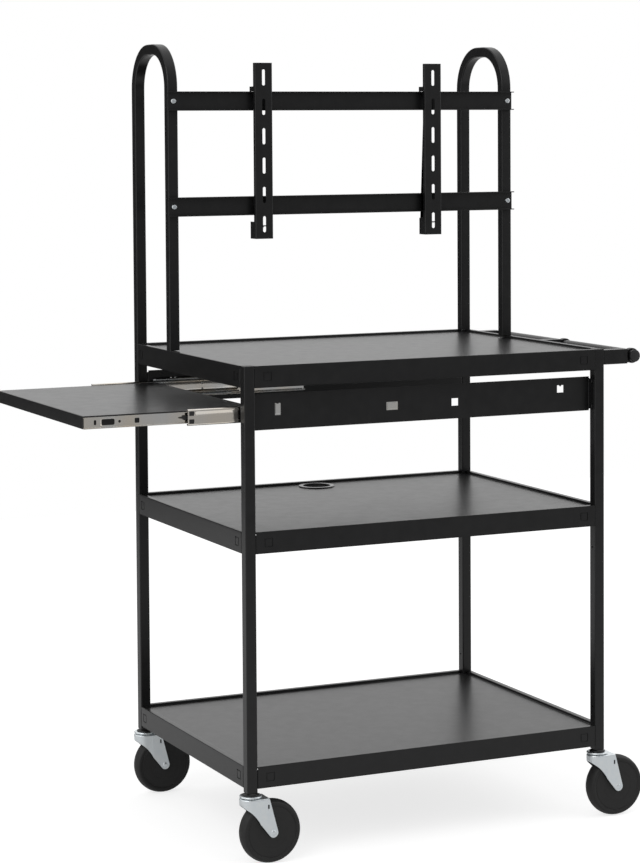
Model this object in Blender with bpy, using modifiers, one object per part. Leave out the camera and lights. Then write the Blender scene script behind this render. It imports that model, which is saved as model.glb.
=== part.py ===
"""A rolling television cart of folded and welded steel.

Three tray shelves hang between four square legs on swivel casters. Two bent hoops carry the
rails that hold the screen, a push handle stands off the right end, and a steel tray pulls out
to the left on a pair of ball-bearing slides. The tray is modelled pulled out to its stops.
Units are metres, +Z is up, the front faces -Y, and the casters trail towards +X.
"""
import math

import bmesh
import bpy
from mathutils import Matrix, Vector

# Overall sizes
cart_width = 0.8128
cart_depth = 0.6096
top_rim = 0.985
middle_rim = 0.659
bottom_rim = 0.195

# Fits shared by every piece
seat_gap = 0.0003
overrun = 0.002
weld_distance = 0.00001

# Legs
leg_size = 0.0222
leg_wall = 0.00165
leg_corner = 0.0025
leg_foot_length = 0.0077
leg_cap_plate = 0.002
leg_cap_plug = 0.012
spare_hole_offsets = (0.039, -0.089)
spare_hole_radius = 0.0022

# Folded shelves
shelf_sheet = 0.0012
apron_height = 0.0433
lip_height = 0.005
lip_width = 0.012
hem_width = 0.012
flange_width = 0.0205
flange_relief = 0.003
emboss_size = 0.018
emboss_line = 0.0018
emboss_depth = 0.0005
emboss_inset_front = 0.0268
emboss_inset_side = 0.0215

# Pan head screws that hold the shelves and the slide panels to the legs
screw_radius = 0.0023
screw_clearance = 0.0003
screw_head_height = 0.0024
screw_reach = 0.0065
shelf_screw_drop = 0.033

# Cable grommet in the middle shelf
grommet_flange_radius = 0.0398
grommet_hole_radius = 0.0300
grommet_flange_height = 0.0026
grommet_sleeve_wall = 0.0020
grommet_sleeve_depth = 0.012
grommet_inset = 0.0568

# Panels that carry the slides
panel_sheet = 0.0015
panel_height = 0.0710
panel_drop = 0.0935
panel_flange = 0.020
panel_chamfer = 0.004
panel_screw_spread = 0.026
window_notch_width = 0.0036
window_notch_depth = 0.0022

# Ball-bearing slides, measured across the slide from its mounting face
slide_length = 0.3556
slide_sheet = 0.0012
slide_sink = 0.0032
slide_inset = 0.013
slide_depth = 0.0127
first_stage_travel = 0.143
second_stage_travel = 0.211
outer_half_height = 0.0210
middle_half_height = 0.0160
inner_half_height = 0.01125
middle_length = 0.340
middle_web_offset = 0.0023
inner_lip_offset = 0.0050
race_offset_outer = 0.0070
race_offset_inner = 0.0075
race_wrap = math.radians(70)
race_steps = 3
ball_clearance = 0.0003
cage_sheet = 0.0005
cage_half_width = 0.0028
outer_cage_length = 0.150
inner_cage_length = 0.120
balls_per_race = 3
bumper_length = 0.0085
bumper_bridge = 0.0045
bumper_height = 0.007
bumper_spread = 0.0078
bumper_inset = 0.0072
bumper_stand = 0.0005
lever_length = 0.034
lever_height = 0.0075
lever_thickness = 0.004
lever_inset = 0.184
tray_screw_insets = (0.0735, 0.320)

# Pull-out tray
tray_sheet = 0.0012
tray_height = 0.0250
tray_rise = 0.0132
tray_hem = 0.012
tray_corner = 0.0025

# Push handle
handle_reach = 0.0740
handle_drop = 0.0177
handle_tube_radius = 0.0127
handle_tube_wall = 0.0015
handle_arm_height = 0.0305
handle_arm_depth = 0.0222
handle_arm_stop = 0.0170
handle_rear_inset = 0.0364
handle_eye_radius = 0.0158
handle_eye_depth = 0.0120
handle_eye_setback = 0.0040
handle_tube_overhang = 0.0010
handle_cap_dome = 0.0022
handle_cap_plug = 0.014
handle_bolt_radius = 0.0030
handle_bolt_reach = 0.018

# Hoops
hoop_rise = 0.641
hoop_spacing = 0.1927
hoop_bend_radius = 0.082
hoop_bend_steps = 6
hoop_spigot_length = 0.160
hoop_spigot_wall = 0.0016
hoop_nut_plate = 0.004

# Screen rails and hook-on brackets
rail_height = 0.040
rail_depth = 0.014
rail_sheet = 0.0020
rail_drop = 0.121
rail_pitch = 0.220
bracket_spacing = 0.400
bracket_width = 0.040
bracket_sheet = 0.0020
bracket_depth = 0.0100
bracket_tail = 0.050
bracket_head = 0.060
bracket_clearance = 0.0005
hook_tooth = 0.004
hook_height = 0.010
hook_drop = 0.012
bracket_slot_width = 0.0070
bracket_slot_length = 0.034
bracket_slot_count = 6
lock_screw_radius = 0.0030
lock_screw_head = 0.0050

# Casters
wheel_radius = 0.0635
wheel_width = 0.032
hub_width = 0.036
hub_radius = 0.0095
tread_radius = 0.0520
axle_radius = 0.0040
axle_head_radius = 0.0055
axle_head_height = 0.0013
running_clearance = 0.0003
caster_trail = 0.040
fork_sheet = 0.0025
fork_width = 0.042
fork_nose = 0.0230
fork_tip_radius = 0.0097
race_gap = 0.0010
cup_radius = 0.0225
cup_height = 0.0050
skirt_height = 0.0050
skirt_radius = 0.0205
stem_radius = 0.0055
stem_length = 0.032
king_pin_radius = 0.0060
king_pin_head_radius = 0.0090
king_pin_head_height = 0.0022

# Places worked out from the sizes above
leg_bottom = bottom_rim - apron_height - leg_foot_length
panel_middle = top_rim - panel_drop
slide_middle = panel_middle - slide_sink
tray_top = slide_middle + tray_rise
handle_axis_height = top_rim - handle_drop
hoop_top = top_rim + hoop_rise
upper_rail_height = hoop_top - rail_drop
lower_rail_height = upper_rail_height - rail_pitch
bracket_top = upper_rail_height + rail_height / 2 + bracket_head
bracket_bottom = lower_rail_height - rail_height / 2 - bracket_tail
fork_top = leg_bottom - skirt_height - cup_height - race_gap
leg_x = (cart_width - leg_size) / 2
leg_y = (cart_depth - leg_size) / 2
leg_inner_x = cart_width / 2 - leg_size
leg_inner_y = cart_depth / 2 - leg_size
leg_bore = leg_size - 2 * leg_wall
plug_size = leg_bore - 2 * seat_gap
plug_corner = leg_corner - leg_wall / 2
flange_edge_x = leg_inner_x - seat_gap
flange_edge_y = leg_inner_y - seat_gap
tray_travel = first_stage_travel + second_stage_travel
slide_left = -leg_inner_x + slide_inset
inner_left = slide_left - tray_travel
middle_left = slide_left - first_stage_travel
panel_back = leg_inner_y - panel_sheet
slide_face = panel_back - seat_gap
tray_half_depth = slide_face - slide_depth - seat_gap
handle_axis_x = cart_width / 2 + handle_reach
hoop_front_y = leg_y - hoop_spacing
hoop_foot = top_rim + seat_gap
foot_bolt_x = (cart_width - lip_width) / 2
rail_face = hoop_front_y - leg_size / 2 - seat_gap
cart_right = max(handle_axis_x + handle_eye_radius, leg_x + caster_trail + wheel_radius)
origin_shift = (-inner_left - cart_right) / 2


def make_material(name, colour, roughness, metallic):
    """A plain Principled finish for one kind of surface."""
    finish = bpy.data.materials.new(name)
    finish.use_nodes = True
    finish.diffuse_color = (*colour, 1)
    shader = finish.node_tree.nodes["Principled BSDF"]
    shader.inputs["Base Color"].default_value = (*colour, 1)
    shader.inputs["Roughness"].default_value = roughness
    shader.inputs["Metallic"].default_value = metallic
    return finish


def mirrored(profile):
    """The points of a half outline, then their mirror images in reverse."""
    return profile + [(x, -y) for x, y in reversed(profile)]


def arc(centre, radius, start, end, steps):
    """Points along a circular arc, both ends included."""
    angles = [start + (end - start) * step / steps for step in range(steps + 1)]
    return [(centre[0] + radius * math.cos(a), centre[1] + radius * math.sin(a)) for a in angles]


def circle(centre, radius, sides):
    """A regular polygon that stands for a round hole or disc."""
    return arc(centre, radius, 0, 2 * math.pi, sides)[:-1]


def rectangle(low, high):
    """The four corners of an upright rectangle."""
    return [(low[0], low[1]), (high[0], low[1]), (high[0], high[1]), (low[0], high[1])]


def rounded_rectangle(width, height, radius, steps=2, centre=(0, 0)):
    """A rectangle about its centre with quarter-round corners."""
    points = []
    for turn, (side, end) in enumerate(((1, 1), (-1, 1), (-1, -1), (1, -1))):
        middle = (centre[0] + side * (width / 2 - radius), centre[1] + end * (height / 2 - radius))
        points += arc(middle, radius, turn * math.pi / 2, (turn + 1) * math.pi / 2, steps)
    return points


def frame(location, right, up):
    """A placing matrix whose local X and Y run along two given directions."""
    right = Vector(right).normalized()
    up = Vector(up).normalized()
    out = right.cross(up)
    columns = Matrix((right, up, out)).transposed().to_4x4()
    return Matrix.Translation(location) @ columns


def evaluated_mesh(piece):
    """The mesh of an object after its modifiers, with loose seams welded."""
    bpy.context.view_layer.update()
    graph = bpy.context.evaluated_depsgraph_get()
    mesh = bpy.data.meshes.new_from_object(piece.evaluated_get(graph))
    work = bmesh.new()
    work.from_mesh(mesh)
    work.transform(piece.matrix_world)
    bmesh.ops.remove_doubles(work, verts=work.verts, dist=weld_distance)
    bmesh.ops.recalc_face_normals(work, faces=work.faces)
    work.to_mesh(mesh)
    work.free()
    return mesh


def add_mesh(work, mesh, place=Matrix()):
    """Join a copy of a mesh into a working mesh at a given place."""
    before = set(work.verts)
    work.from_mesh(mesh)
    added = [vert for vert in work.verts if vert not in before]
    bmesh.ops.transform(work, matrix=place, verts=added)
    return added


def plate_mesh(outlines, thickness):
    """A flat plate from its outline and its holes, thick on both sides of its own XY plane."""
    curve = bpy.data.curves.new("plate", "CURVE")
    curve.dimensions = "2D"
    curve.fill_mode = "BOTH"
    curve.extrude = thickness / 2
    for outline in outlines:
        spline = curve.splines.new("POLY")
        spline.points.add(len(outline) - 1)
        for point, (x, y) in zip(spline.points, outline):
            point.co = (x, y, 0, 1)
        spline.use_cyclic_u = True
    holder = bpy.data.objects.new("plate", curve)
    bpy.context.scene.collection.objects.link(holder)
    mesh = evaluated_mesh(holder)
    bpy.data.objects.remove(holder)
    bpy.data.curves.remove(curve)
    return mesh


def turned_mesh(profile, steps):
    """A solid of revolution about Z from (radius, height) points, run down the outer side."""
    mesh = bpy.data.meshes.new("turned")
    points = [(radius, 0, height) for radius, height in profile]
    edges = [(i, i + 1) for i in range(len(points) - 1)]
    if profile[0][0] > 0:
        edges.append((len(points) - 1, 0))
    mesh.from_pydata(points, edges, [])
    holder = bpy.data.objects.new("turned", mesh)
    bpy.context.scene.collection.objects.link(holder)
    screw = holder.modifiers.new("turn", "SCREW")
    screw.axis = "Z"
    screw.steps = steps
    screw.render_steps = steps
    screw.use_merge_vertices = True
    screw.merge_threshold = weld_distance
    result = evaluated_mesh(holder)
    bpy.data.objects.remove(holder)
    return result


def add_box(work, low, high):
    """A box between two corners."""
    size = Vector(high) - Vector(low)
    middle = (Vector(high) + Vector(low)) / 2
    place = Matrix.Translation(middle) @ Matrix.Diagonal((*size, 1))
    return bmesh.ops.create_cube(work, size=1, matrix=place)["verts"]


def add_rod(work, start, end, radius, sides):
    """A round rod from one point to another."""
    start = Vector(start)
    along = Vector(end) - start
    turn = along.to_track_quat("Z", "X").to_matrix().to_4x4()
    place = Matrix.Translation(start + along / 2) @ turn
    return bmesh.ops.create_cone(work, cap_ends=True, segments=sides, radius1=radius, radius2=radius,
                                 depth=along.length, matrix=place)["verts"]


def add_piece(name, shape, finish, place=Matrix(), parent=None, turned=False):
    """Put a finished shape into the cart as a named object, smooth where it was turned."""
    mesh = shape
    if isinstance(shape, bmesh.types.BMesh):
        mesh = bpy.data.meshes.new(name)
        shape.to_mesh(mesh)
        shape.free()
    mesh.name = name
    piece = bpy.data.objects.new(name, mesh)
    cart_collection.objects.link(piece)
    piece.parent = parent or cart
    piece.matrix_local = place
    mesh.materials.append(finish)
    if turned:
        mesh.shade_smooth()
        mesh.set_sharp_from_angle(angle=smooth_limit)
    return piece


def thicken(piece, thickness, offset=-1.0):
    """Give an open sheet its thickness, behind the modelled side."""
    solid = piece.modifiers.new("thickness", "SOLIDIFY")
    solid.solidify_mode = "NON_MANIFOLD"
    solid.nonmanifold_thickness_mode = "CONSTRAINTS"
    solid.nonmanifold_merge_threshold = weld_distance
    solid.thickness = thickness
    solid.offset = offset


def combine(piece, work, operation="DIFFERENCE"):
    """Cut, join or trim a piece with a working mesh given in the piece's own frame."""
    mesh = bpy.data.meshes.new(piece.name + "_tool")
    work.to_mesh(mesh)
    work.free()
    tool = bpy.data.objects.new(mesh.name, mesh)
    cutter_collection.objects.link(tool)
    tool.parent = piece
    tool.hide_render = True
    tool.display_type = "WIRE"
    boolean = piece.modifiers.new("shape", "BOOLEAN")
    boolean.operation = operation
    boolean.solver = "EXACT"
    boolean.object = tool


def pull_edges(work, edges, shift):
    """Fold a strip of sheet out of some edges and return the strip's far edges."""
    grown = bmesh.ops.extrude_edge_only(work, edges=edges)["geom"]
    verts = [part for part in grown if isinstance(part, bmesh.types.BMVert)]
    bmesh.ops.translate(work, verts=verts, vec=shift)
    rim = set(verts)
    return [part for part in grown if isinstance(part, bmesh.types.BMEdge)
            and part.verts[0] in rim and part.verts[1] in rim]


def edges_where(work, test):
    """The boundary edges whose two ends both pass a test."""
    return [edge for edge in work.edges
            if edge.is_boundary and test(edge.verts[0].co) and test(edge.verts[1].co)]


def near(a, b):
    """Whether two lengths are the same to within the weld distance."""
    return abs(a - b) < weld_distance


smooth_limit = math.radians(35)
pan_share = 0.72


def folded_panel_ends(work, edge_x, width, low, high):
    """Fold a flange towards -Y out of each end of an upright sheet."""
    for side in (-1, 1):
        ends = edges_where(work, lambda co: near(co.x, side * edge_x)
                           and low - weld_distance < co.z < high + weld_distance)
        pull_edges(work, ends, (0, -width, 0))


def shelf_sheet_mesh(rim):
    """The upper side of a folded tray shelf: tray, raised lip, aprons, hems and leg flanges."""
    wall_x = cart_width / 2 - lip_width
    wall_y = cart_depth / 2 - lip_width
    floor = rim - lip_height
    low = rim - apron_height
    work = bmesh.new()
    bmesh.ops.create_grid(work, x_segments=3, y_segments=3, size=1)
    columns = sorted({round(v.co.x, 3) for v in work.verts})
    places_x = (-wall_x, -flange_edge_x, flange_edge_x, wall_x)
    places_y = (-wall_y, -flange_edge_y, flange_edge_y, wall_y)
    for vert in work.verts:
        column = columns.index(round(vert.co.x, 3))
        row = columns.index(round(vert.co.y, 3))
        vert.co = (places_x[column], places_y[row], floor)
    corners = [face for face in work.faces
               if abs(face.calc_center_median().x) > flange_edge_x
               and abs(face.calc_center_median().y) > flange_edge_y]
    bmesh.ops.delete(work, geom=corners, context="FACES")
    for axis, wall in ((0, wall_x), (1, wall_y)):
        for side in (-1, 1):
            out = Vector((0, 0, 0))
            out[axis] = side * lip_width
            edge = edges_where(work, lambda co: near(co[axis], side * wall) and near(co.z, floor))
            edge = pull_edges(work, edge, (0, 0, lip_height))
            edge = pull_edges(work, edge, out)
            edge = pull_edges(work, edge, (0, 0, floor - flange_relief - rim))
            edge = pull_edges(work, edge, (0, 0, low + flange_relief - floor + flange_relief))
            edge = pull_edges(work, edge, (0, 0, -flange_relief))
            pull_edges(work, edge, -out * hem_width / lip_width)
    for axis, wall, end in ((0, cart_width / 2, flange_edge_y), (1, cart_depth / 2, flange_edge_x)):
        for side in (-1, 1):
            inward = Vector((0, 0, 0))
            inward[axis] = -side * flange_width
            band = edges_where(work, lambda co: near(co[axis], side * wall)
                               and near(abs(co[1 - axis]), end)
                               and low + flange_relief / 2 < co.z < floor - flange_relief / 2)
            pull_edges(work, band, inward)
    bmesh.ops.recalc_face_normals(work, faces=work.faces)
    upright = min(work.faces, key=lambda face: face.calc_center_median().length_squared
                  - face.calc_center_median().z ** 2)
    if upright.normal.z < 0:
        bmesh.ops.reverse_faces(work, faces=work.faces)
    return work


def add_emboss(work, rim):
    """Shallow square grooves in the aprons beside every leg, but not under a handle arm."""
    middle = rim - apron_height / 2
    outer = emboss_size / 2
    inner = outer - emboss_line
    ring = [rectangle((-outer, -outer), (outer, outer)), rectangle((-inner, -inner), (inner, inner))]
    mesh = plate_mesh(ring, 2 * emboss_depth)
    for side in (-1, 1):
        for end in (-1, 1):
            front = (side * (leg_inner_x - emboss_inset_front), end * cart_depth / 2, middle)
            add_mesh(work, mesh, frame(front, (1, 0, 0), (0, 0, 1)))
            beside = (side * cart_width / 2, end * (leg_inner_y - emboss_inset_side), middle)
            under_arm = rim == top_rim and side > 0 and end > 0
            if not under_arm:
                add_mesh(work, mesh, frame(beside, (0, 1, 0), (0, 0, 1)))


def leg_screw_places(height):
    """Seat, inward direction and height of the two screws that each leg takes at a height."""
    for side in (-1, 1):
        for end in (-1, 1):
            along_x = Vector((side * (flange_edge_x - shelf_sheet - seat_gap), end * leg_y, height))
            along_y = Vector((side * leg_x, end * (flange_edge_y - shelf_sheet - seat_gap), height))
            yield along_x, Vector((side, 0, 0))
            yield along_y, Vector((0, end, 0))


def seat_matrix(seat, direction):
    """Place a screw with its head's seat on a point and its shank along a direction."""
    turn = (-direction).to_track_quat("Z", "X").to_matrix().to_4x4()
    return Matrix.Translation(seat) @ turn


def add_hole(work, seat, direction, radius, depth):
    """A round cutter that starts in front of a seat and goes a given depth past it."""
    add_rod(work, seat - direction * overrun, seat + direction * depth, radius, 6)


def build_legs():
    """Four square tubes, the front pair a cap's thickness shorter than the rear pair."""
    hole = screw_radius + screw_clearance
    through = screw_reach
    for side, side_name in ((-1, "left"), (1, "right")):
        for end, end_name in ((-1, "front"), (1, "rear")):
            top = top_rim - leg_cap_plate - seat_gap if end < 0 else top_rim - seat_gap
            length = top - leg_bottom
            outlines = [rounded_rectangle(leg_size, leg_size, leg_corner, 1),
                        rounded_rectangle(leg_bore, leg_bore, leg_corner - leg_wall, 1)]
            place = Matrix.Translation((side * leg_x, end * leg_y, leg_bottom + length / 2))
            leg = add_piece(f"leg_{end_name}_{side_name}", plate_mesh(outlines, length), black_paint,
                            place)
            cuts = bmesh.new()
            origin = Vector(place.translation)
            for rim in (bottom_rim, middle_rim, top_rim):
                for seat, direction in leg_screw_places(rim - shelf_screw_drop):
                    if seat.x * side > 0 and seat.y * end > 0:
                        add_hole(cuts, seat - origin, direction, hole, through)
            inward = Vector((side, 0, 0))
            for height in (bottom_rim + spare_hole_offsets[0], middle_rim + spare_hole_offsets[1]):
                seat = Vector((side * leg_inner_x, end * leg_y, height))
                add_hole(cuts, seat - origin, inward, spare_hole_radius, through)
            for drop in (-panel_screw_spread, panel_screw_spread):
                seat = Vector((side * leg_inner_x, end * leg_y, panel_middle + drop))
                add_hole(cuts, seat - origin, inward, hole, through)
            if side > 0 and end < 0:
                seat = Vector((leg_inner_x, -leg_y, handle_axis_height))
                add_hole(cuts, seat - origin, inward, handle_bolt_radius + screw_clearance,
                         leg_size + overrun)
            combine(leg, cuts)


def build_leg_caps():
    """Plastic plugs that close the tops of the two front legs."""
    plug = plate_mesh([rounded_rectangle(plug_size, plug_size, plug_corner, 1)],
                      leg_cap_plug + leg_cap_plate / 2)
    plate = plate_mesh([rounded_rectangle(leg_size, leg_size, leg_corner, 1)], leg_cap_plate)
    for side, side_name in ((-1, "left"), (1, "right")):
        place = Matrix.Translation((side * leg_x, -leg_y, top_rim - leg_cap_plate / 2))
        cap = add_piece(f"leg_cap_{side_name}", plate.copy(), black_plastic, place)
        below = bmesh.new()
        drop = (leg_cap_plug + leg_cap_plate / 2) / 2
        add_mesh(below, plug, Matrix.Translation((0, 0, -drop)))
        combine(cap, below, "UNION")


def build_shelf(name, rim, extra_cuts=None):
    """One folded tray shelf with its screw holes and pressed grooves."""
    shelf = add_piece(name, shelf_sheet_mesh(rim), black_paint)
    thicken(shelf, shelf_sheet)
    cuts = bmesh.new()
    add_emboss(cuts, rim)
    for seat, direction in leg_screw_places(rim - shelf_screw_drop):
        add_hole(cuts, seat, direction, screw_radius + screw_clearance, screw_reach)
    if extra_cuts:
        extra_cuts(cuts)
    combine(shelf, cuts)


def grommet_cut(cuts):
    """The round opening for the cable grommet."""
    centre = Vector((0, cart_depth / 2 - grommet_inset, middle_rim - lip_height))
    radius = grommet_hole_radius + grommet_sleeve_wall + seat_gap
    add_rod(cuts, centre - Vector((0, 0, grommet_sleeve_depth)),
            centre + Vector((0, 0, overrun)), radius, 20)


def top_shelf_cuts(cuts):
    """Holes for the hoop bolts and for the handle bolts."""
    radius = screw_radius + screw_clearance
    for side in (-1, 1):
        foot = Vector((side * foot_bolt_x, hoop_front_y, top_rim))
        add_rod(cuts, foot - Vector((0, 0, overrun + shelf_sheet)), foot + Vector((0, 0, overrun)),
                radius, 6)
    for seat, direction in handle_bolt_seats():
        add_hole(cuts, seat, direction, handle_bolt_radius + screw_clearance,
                 shelf_sheet + seat_gap + overrun)
    seat = Vector((flange_edge_x - shelf_sheet - seat_gap, -leg_y, handle_axis_height))
    add_hole(cuts, seat, Vector((1, 0, 0)), handle_bolt_radius + screw_clearance, screw_reach)


def build_grommet():
    """A plastic ring with a flange on the tray and a sleeve through it."""
    sleeve = grommet_hole_radius + grommet_sleeve_wall
    edge = grommet_flange_height / 2
    profile = [(grommet_hole_radius, grommet_flange_height),
               (grommet_flange_radius - edge, grommet_flange_height),
               (grommet_flange_radius, edge),
               (grommet_flange_radius, seat_gap),
               (sleeve, seat_gap),
               (sleeve, -grommet_sleeve_depth),
               (grommet_hole_radius, -grommet_sleeve_depth)]
    centre = (0, cart_depth / 2 - grommet_inset, middle_rim - lip_height)
    add_piece("cable_grommet", turned_mesh(profile, 20), black_plastic, Matrix.Translation(centre),
              turned=True)


def window_outline(centre, size, notched):
    """A punched window, with a small tooth pointing down from its top where notched."""
    low = (centre[0] - size[0] / 2, centre[1] - size[1] / 2)
    high = (centre[0] + size[0] / 2, centre[1] + size[1] / 2)
    outline = rectangle(low, high)
    if notched:
        half = window_notch_width / 2
        tooth = [(centre[0] + half, high[1]), (centre[0], high[1] - window_notch_depth),
                 (centre[0] - half, high[1])]
        outline = outline[:3] + tooth + outline[3:]
    return outline


left_window_insets = (0.0588, 0.3098)
right_window_insets = (0.3165, 0.0702)
left_window_lifts = (0.0051, -0.0024)
right_window_lifts = (-0.0018, 0.0127)
left_window_sizes = ((0.0134, 0.0255), (0.0268, 0.0166))
right_window_sizes = ((0.0163, 0.0152), (0.0155, 0.0153))
hook_windows = (
    ((left_window_insets[0] - leg_inner_x, left_window_lifts[0]), left_window_sizes[0], True),
    ((left_window_insets[1] - leg_inner_x, left_window_lifts[1]), left_window_sizes[1], False),
)
spare_windows = (
    ((leg_inner_x - right_window_insets[0], right_window_lifts[0]), right_window_sizes[0], False),
    ((leg_inner_x - right_window_insets[1], right_window_lifts[1]), right_window_sizes[1], True),
)


def build_panel(name, end):
    """A folded panel between two legs whose windows take the hooks of a slide."""
    half = panel_height / 2
    edge = flange_edge_x - panel_sheet
    low = -half + panel_chamfer
    high = half - panel_chamfer
    work = bmesh.new()
    bmesh.ops.create_grid(work, x_segments=1, y_segments=3, size=1)
    rows = sorted({round(v.co.y, 3) for v in work.verts})
    for vert in work.verts:
        row = rows.index(round(vert.co.y, 3))
        vert.co = (math.copysign(edge, vert.co.x), 0, (-half, low, high, half)[row])
    bmesh.ops.recalc_face_normals(work, faces=work.faces)
    if next(iter(work.faces)).normal.y > 0:
        bmesh.ops.reverse_faces(work, faces=work.faces)
    folded_panel_ends(work, edge, panel_flange, low, high)
    bmesh.ops.recalc_face_normals(work, faces=work.faces)
    flat = min(work.faces, key=lambda face: abs(face.calc_center_median().x)
               + abs(face.calc_center_median().z))
    if flat.normal.y > 0:
        bmesh.ops.reverse_faces(work, faces=work.faces)
    place = Matrix.Translation((0, end * leg_inner_y, panel_middle))
    if end > 0:
        place = place @ Matrix.Scale(-1, 4, (0, 1, 0))
        bmesh.ops.transform(work, matrix=Matrix.Scale(-1, 4, (0, 1, 0)), verts=work.verts)
        bmesh.ops.reverse_faces(work, faces=work.faces)
        place = Matrix.Translation((0, end * leg_inner_y, panel_middle))
    panel = add_piece(name, work, black_paint, place)
    thicken(panel, panel_sheet)
    cuts = bmesh.new()
    for centre, size, notched in hook_windows + spare_windows:
        mesh = plate_mesh([window_outline(centre, size, notched)], 2 * (panel_sheet + overrun))
        add_mesh(cuts, mesh, frame((0, 0, 0), (1, 0, 0), (0, 0, 1)))
    for side in (-1, 1):
        for drop in (-panel_screw_spread, panel_screw_spread):
            seat = Vector((side * (edge - seat_gap), end * leg_size / 2, drop))
            add_hole(cuts, seat, Vector((side, 0, 0)), screw_radius + screw_clearance,
                     panel_sheet + overrun)
    combine(panel, cuts)


def slide_strip(section, length):
    """An open strip of rolled sheet: a section in the slide's depth and height, drawn along X."""
    work = bmesh.new()
    verts = [work.verts.new((0, depth, height)) for depth, height in section]
    edges = [work.edges.new(pair) for pair in zip(verts, verts[1:])]
    pull_edges(work, edges, (length, 0, 0))
    return work


def race_lip(offset, height, ball_middle, web):
    """Half a C section: from the rolled lip over the balls back to the web."""
    radius = height - ball_middle
    lip = arc((offset, ball_middle), radius, math.pi / 2 - race_wrap, math.pi / 2, race_steps)
    return lip + [(web, height)]


outer_line = outer_half_height - slide_sheet / 2
middle_line = middle_half_height - slide_sheet / 2
inner_line = inner_half_height - slide_sheet / 2
outer_ball_radius = (outer_half_height - slide_sheet - middle_half_height) / 2 - ball_clearance
inner_ball_radius = (middle_half_height - slide_sheet - inner_half_height) / 2 - ball_clearance
outer_ball_height = middle_half_height + ball_clearance + outer_ball_radius
inner_ball_height = inner_half_height + ball_clearance + inner_ball_radius


def add_slide_piece(name, work, left, end, parent=None):
    """Place a slide member on the front or the rear panel, mirrored for the rear one."""
    if end > 0:
        bmesh.ops.transform(work, matrix=Matrix.Scale(-1, 4, (0, 1, 0)), verts=work.verts)
        bmesh.ops.reverse_faces(work, faces=work.faces)
    base = parent.location if parent else Vector((0, 0, 0))
    spot = Vector((left, end * slide_face, slide_middle)) - base
    return add_piece(name, work, zinc, Matrix.Translation(spot), parent)


def member_strip(section, length):
    """A strip whose web faces away from the tray, ready to be thickened about its middle."""
    work = slide_strip(section, length)
    bmesh.ops.recalc_face_normals(work, faces=work.faces)
    return work


def side_cut(work, outline, end, depth_low, depth_high):
    """A cutter through a slide's web, outlined in length and height."""
    mesh = plate_mesh([outline], depth_high - depth_low)
    middle = (depth_low + depth_high) / 2
    add_mesh(work, mesh, frame((0, -end * middle, 0), (1, 0, 0), (0, 0, 1)))


def build_slides():
    """Both slides: fixed, middle and inner members, ball cages, bumpers and latch levers."""
    for end, end_name in ((-1, "front"), (1, "rear")):
        half = race_lip(race_offset_outer, outer_line, outer_ball_height, slide_sheet / 2)
        fixed = add_slide_piece(f"slide_{end_name}_fixed_member",
                                member_strip(mirrored(half), slide_length), slide_left, end)
        thicken(fixed, slide_sheet, 0.0)
        hooks = bmesh.new()
        for centre, size, notched in hook_windows:
            reach = panel_sheet + seat_gap
            middle = (centre[0] - slide_left, centre[1] + panel_middle - slide_middle)
            grip = (size[0] * hook_share / 2, size[1] * hook_share / 2)
            depths = sorted((end * reach, -end * slide_sheet / 2))
            add_box(hooks, (middle[0] - grip[0], depths[0], middle[1] - grip[1]),
                    (middle[0] + grip[0], depths[1], middle[1] + grip[1]))
        combine(fixed, hooks, "UNION")

        web = middle_web_offset + slide_sheet / 2
        half = race_lip(race_offset_inner, middle_line, inner_ball_height, web)
        middle = add_slide_piece(f"slide_{end_name}_middle_member",
                                 member_strip(mirrored(half), middle_length), middle_left, end,
                                 middle_stage)
        thicken(middle, slide_sheet, 0.0)
        windows = bmesh.new()
        for row in (-1, 1):
            outline = rounded_rectangle(bumper_length + 2 * seat_gap, bumper_height + 2 * seat_gap,
                                        seat_gap, 1,
                                        (bumper_inset, row * bumper_spread))
            side_cut(windows, outline, end, 0, web + overrun)
        combine(middle, windows)

        web = slide_depth - slide_sheet / 2
        section = [(inner_lip_offset, inner_line), (web, inner_line),
                   (web, -inner_line), (inner_lip_offset, -inner_line)]
        inner = add_slide_piece(f"slide_{end_name}_inner_member",
                                member_strip(section, slide_length), inner_left, end, tray_stage)
        thicken(inner, slide_sheet, 0.0)
        windows = bmesh.new()
        for outline in inner_member_windows():
            side_cut(windows, outline, end, web - overrun, web + overrun)
        combine(inner, windows)
    build_cages()
    build_end_stops()
    build_levers()


hook_share = 0.78
frame_window_length = 0.0264
frame_window_height = 0.0117
frame_window_inset = 0.0498
keyhole_inset = 0.0238
keyhole_radius = 0.0025
keyhole_height = 0.0050
square_hole_inset = 0.1092
square_hole_size = 0.0097


def inner_member_windows():
    """The punched holes along an inner member, from its outer end inwards."""
    yield rounded_rectangle(2 * keyhole_radius, 2 * keyhole_height, keyhole_radius, 3,
                            (keyhole_inset, 0))
    yield rounded_rectangle(frame_window_length, frame_window_height, frame_window_height / 4, 2,
                            (frame_window_inset, 0))
    yield rounded_rectangle(square_hole_size, square_hole_size, square_hole_size / 5, 1,
                            (square_hole_inset, 0))
    for inset in tray_screw_insets:
        yield circle((inset, 0), screw_radius + screw_clearance, 8)


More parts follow.
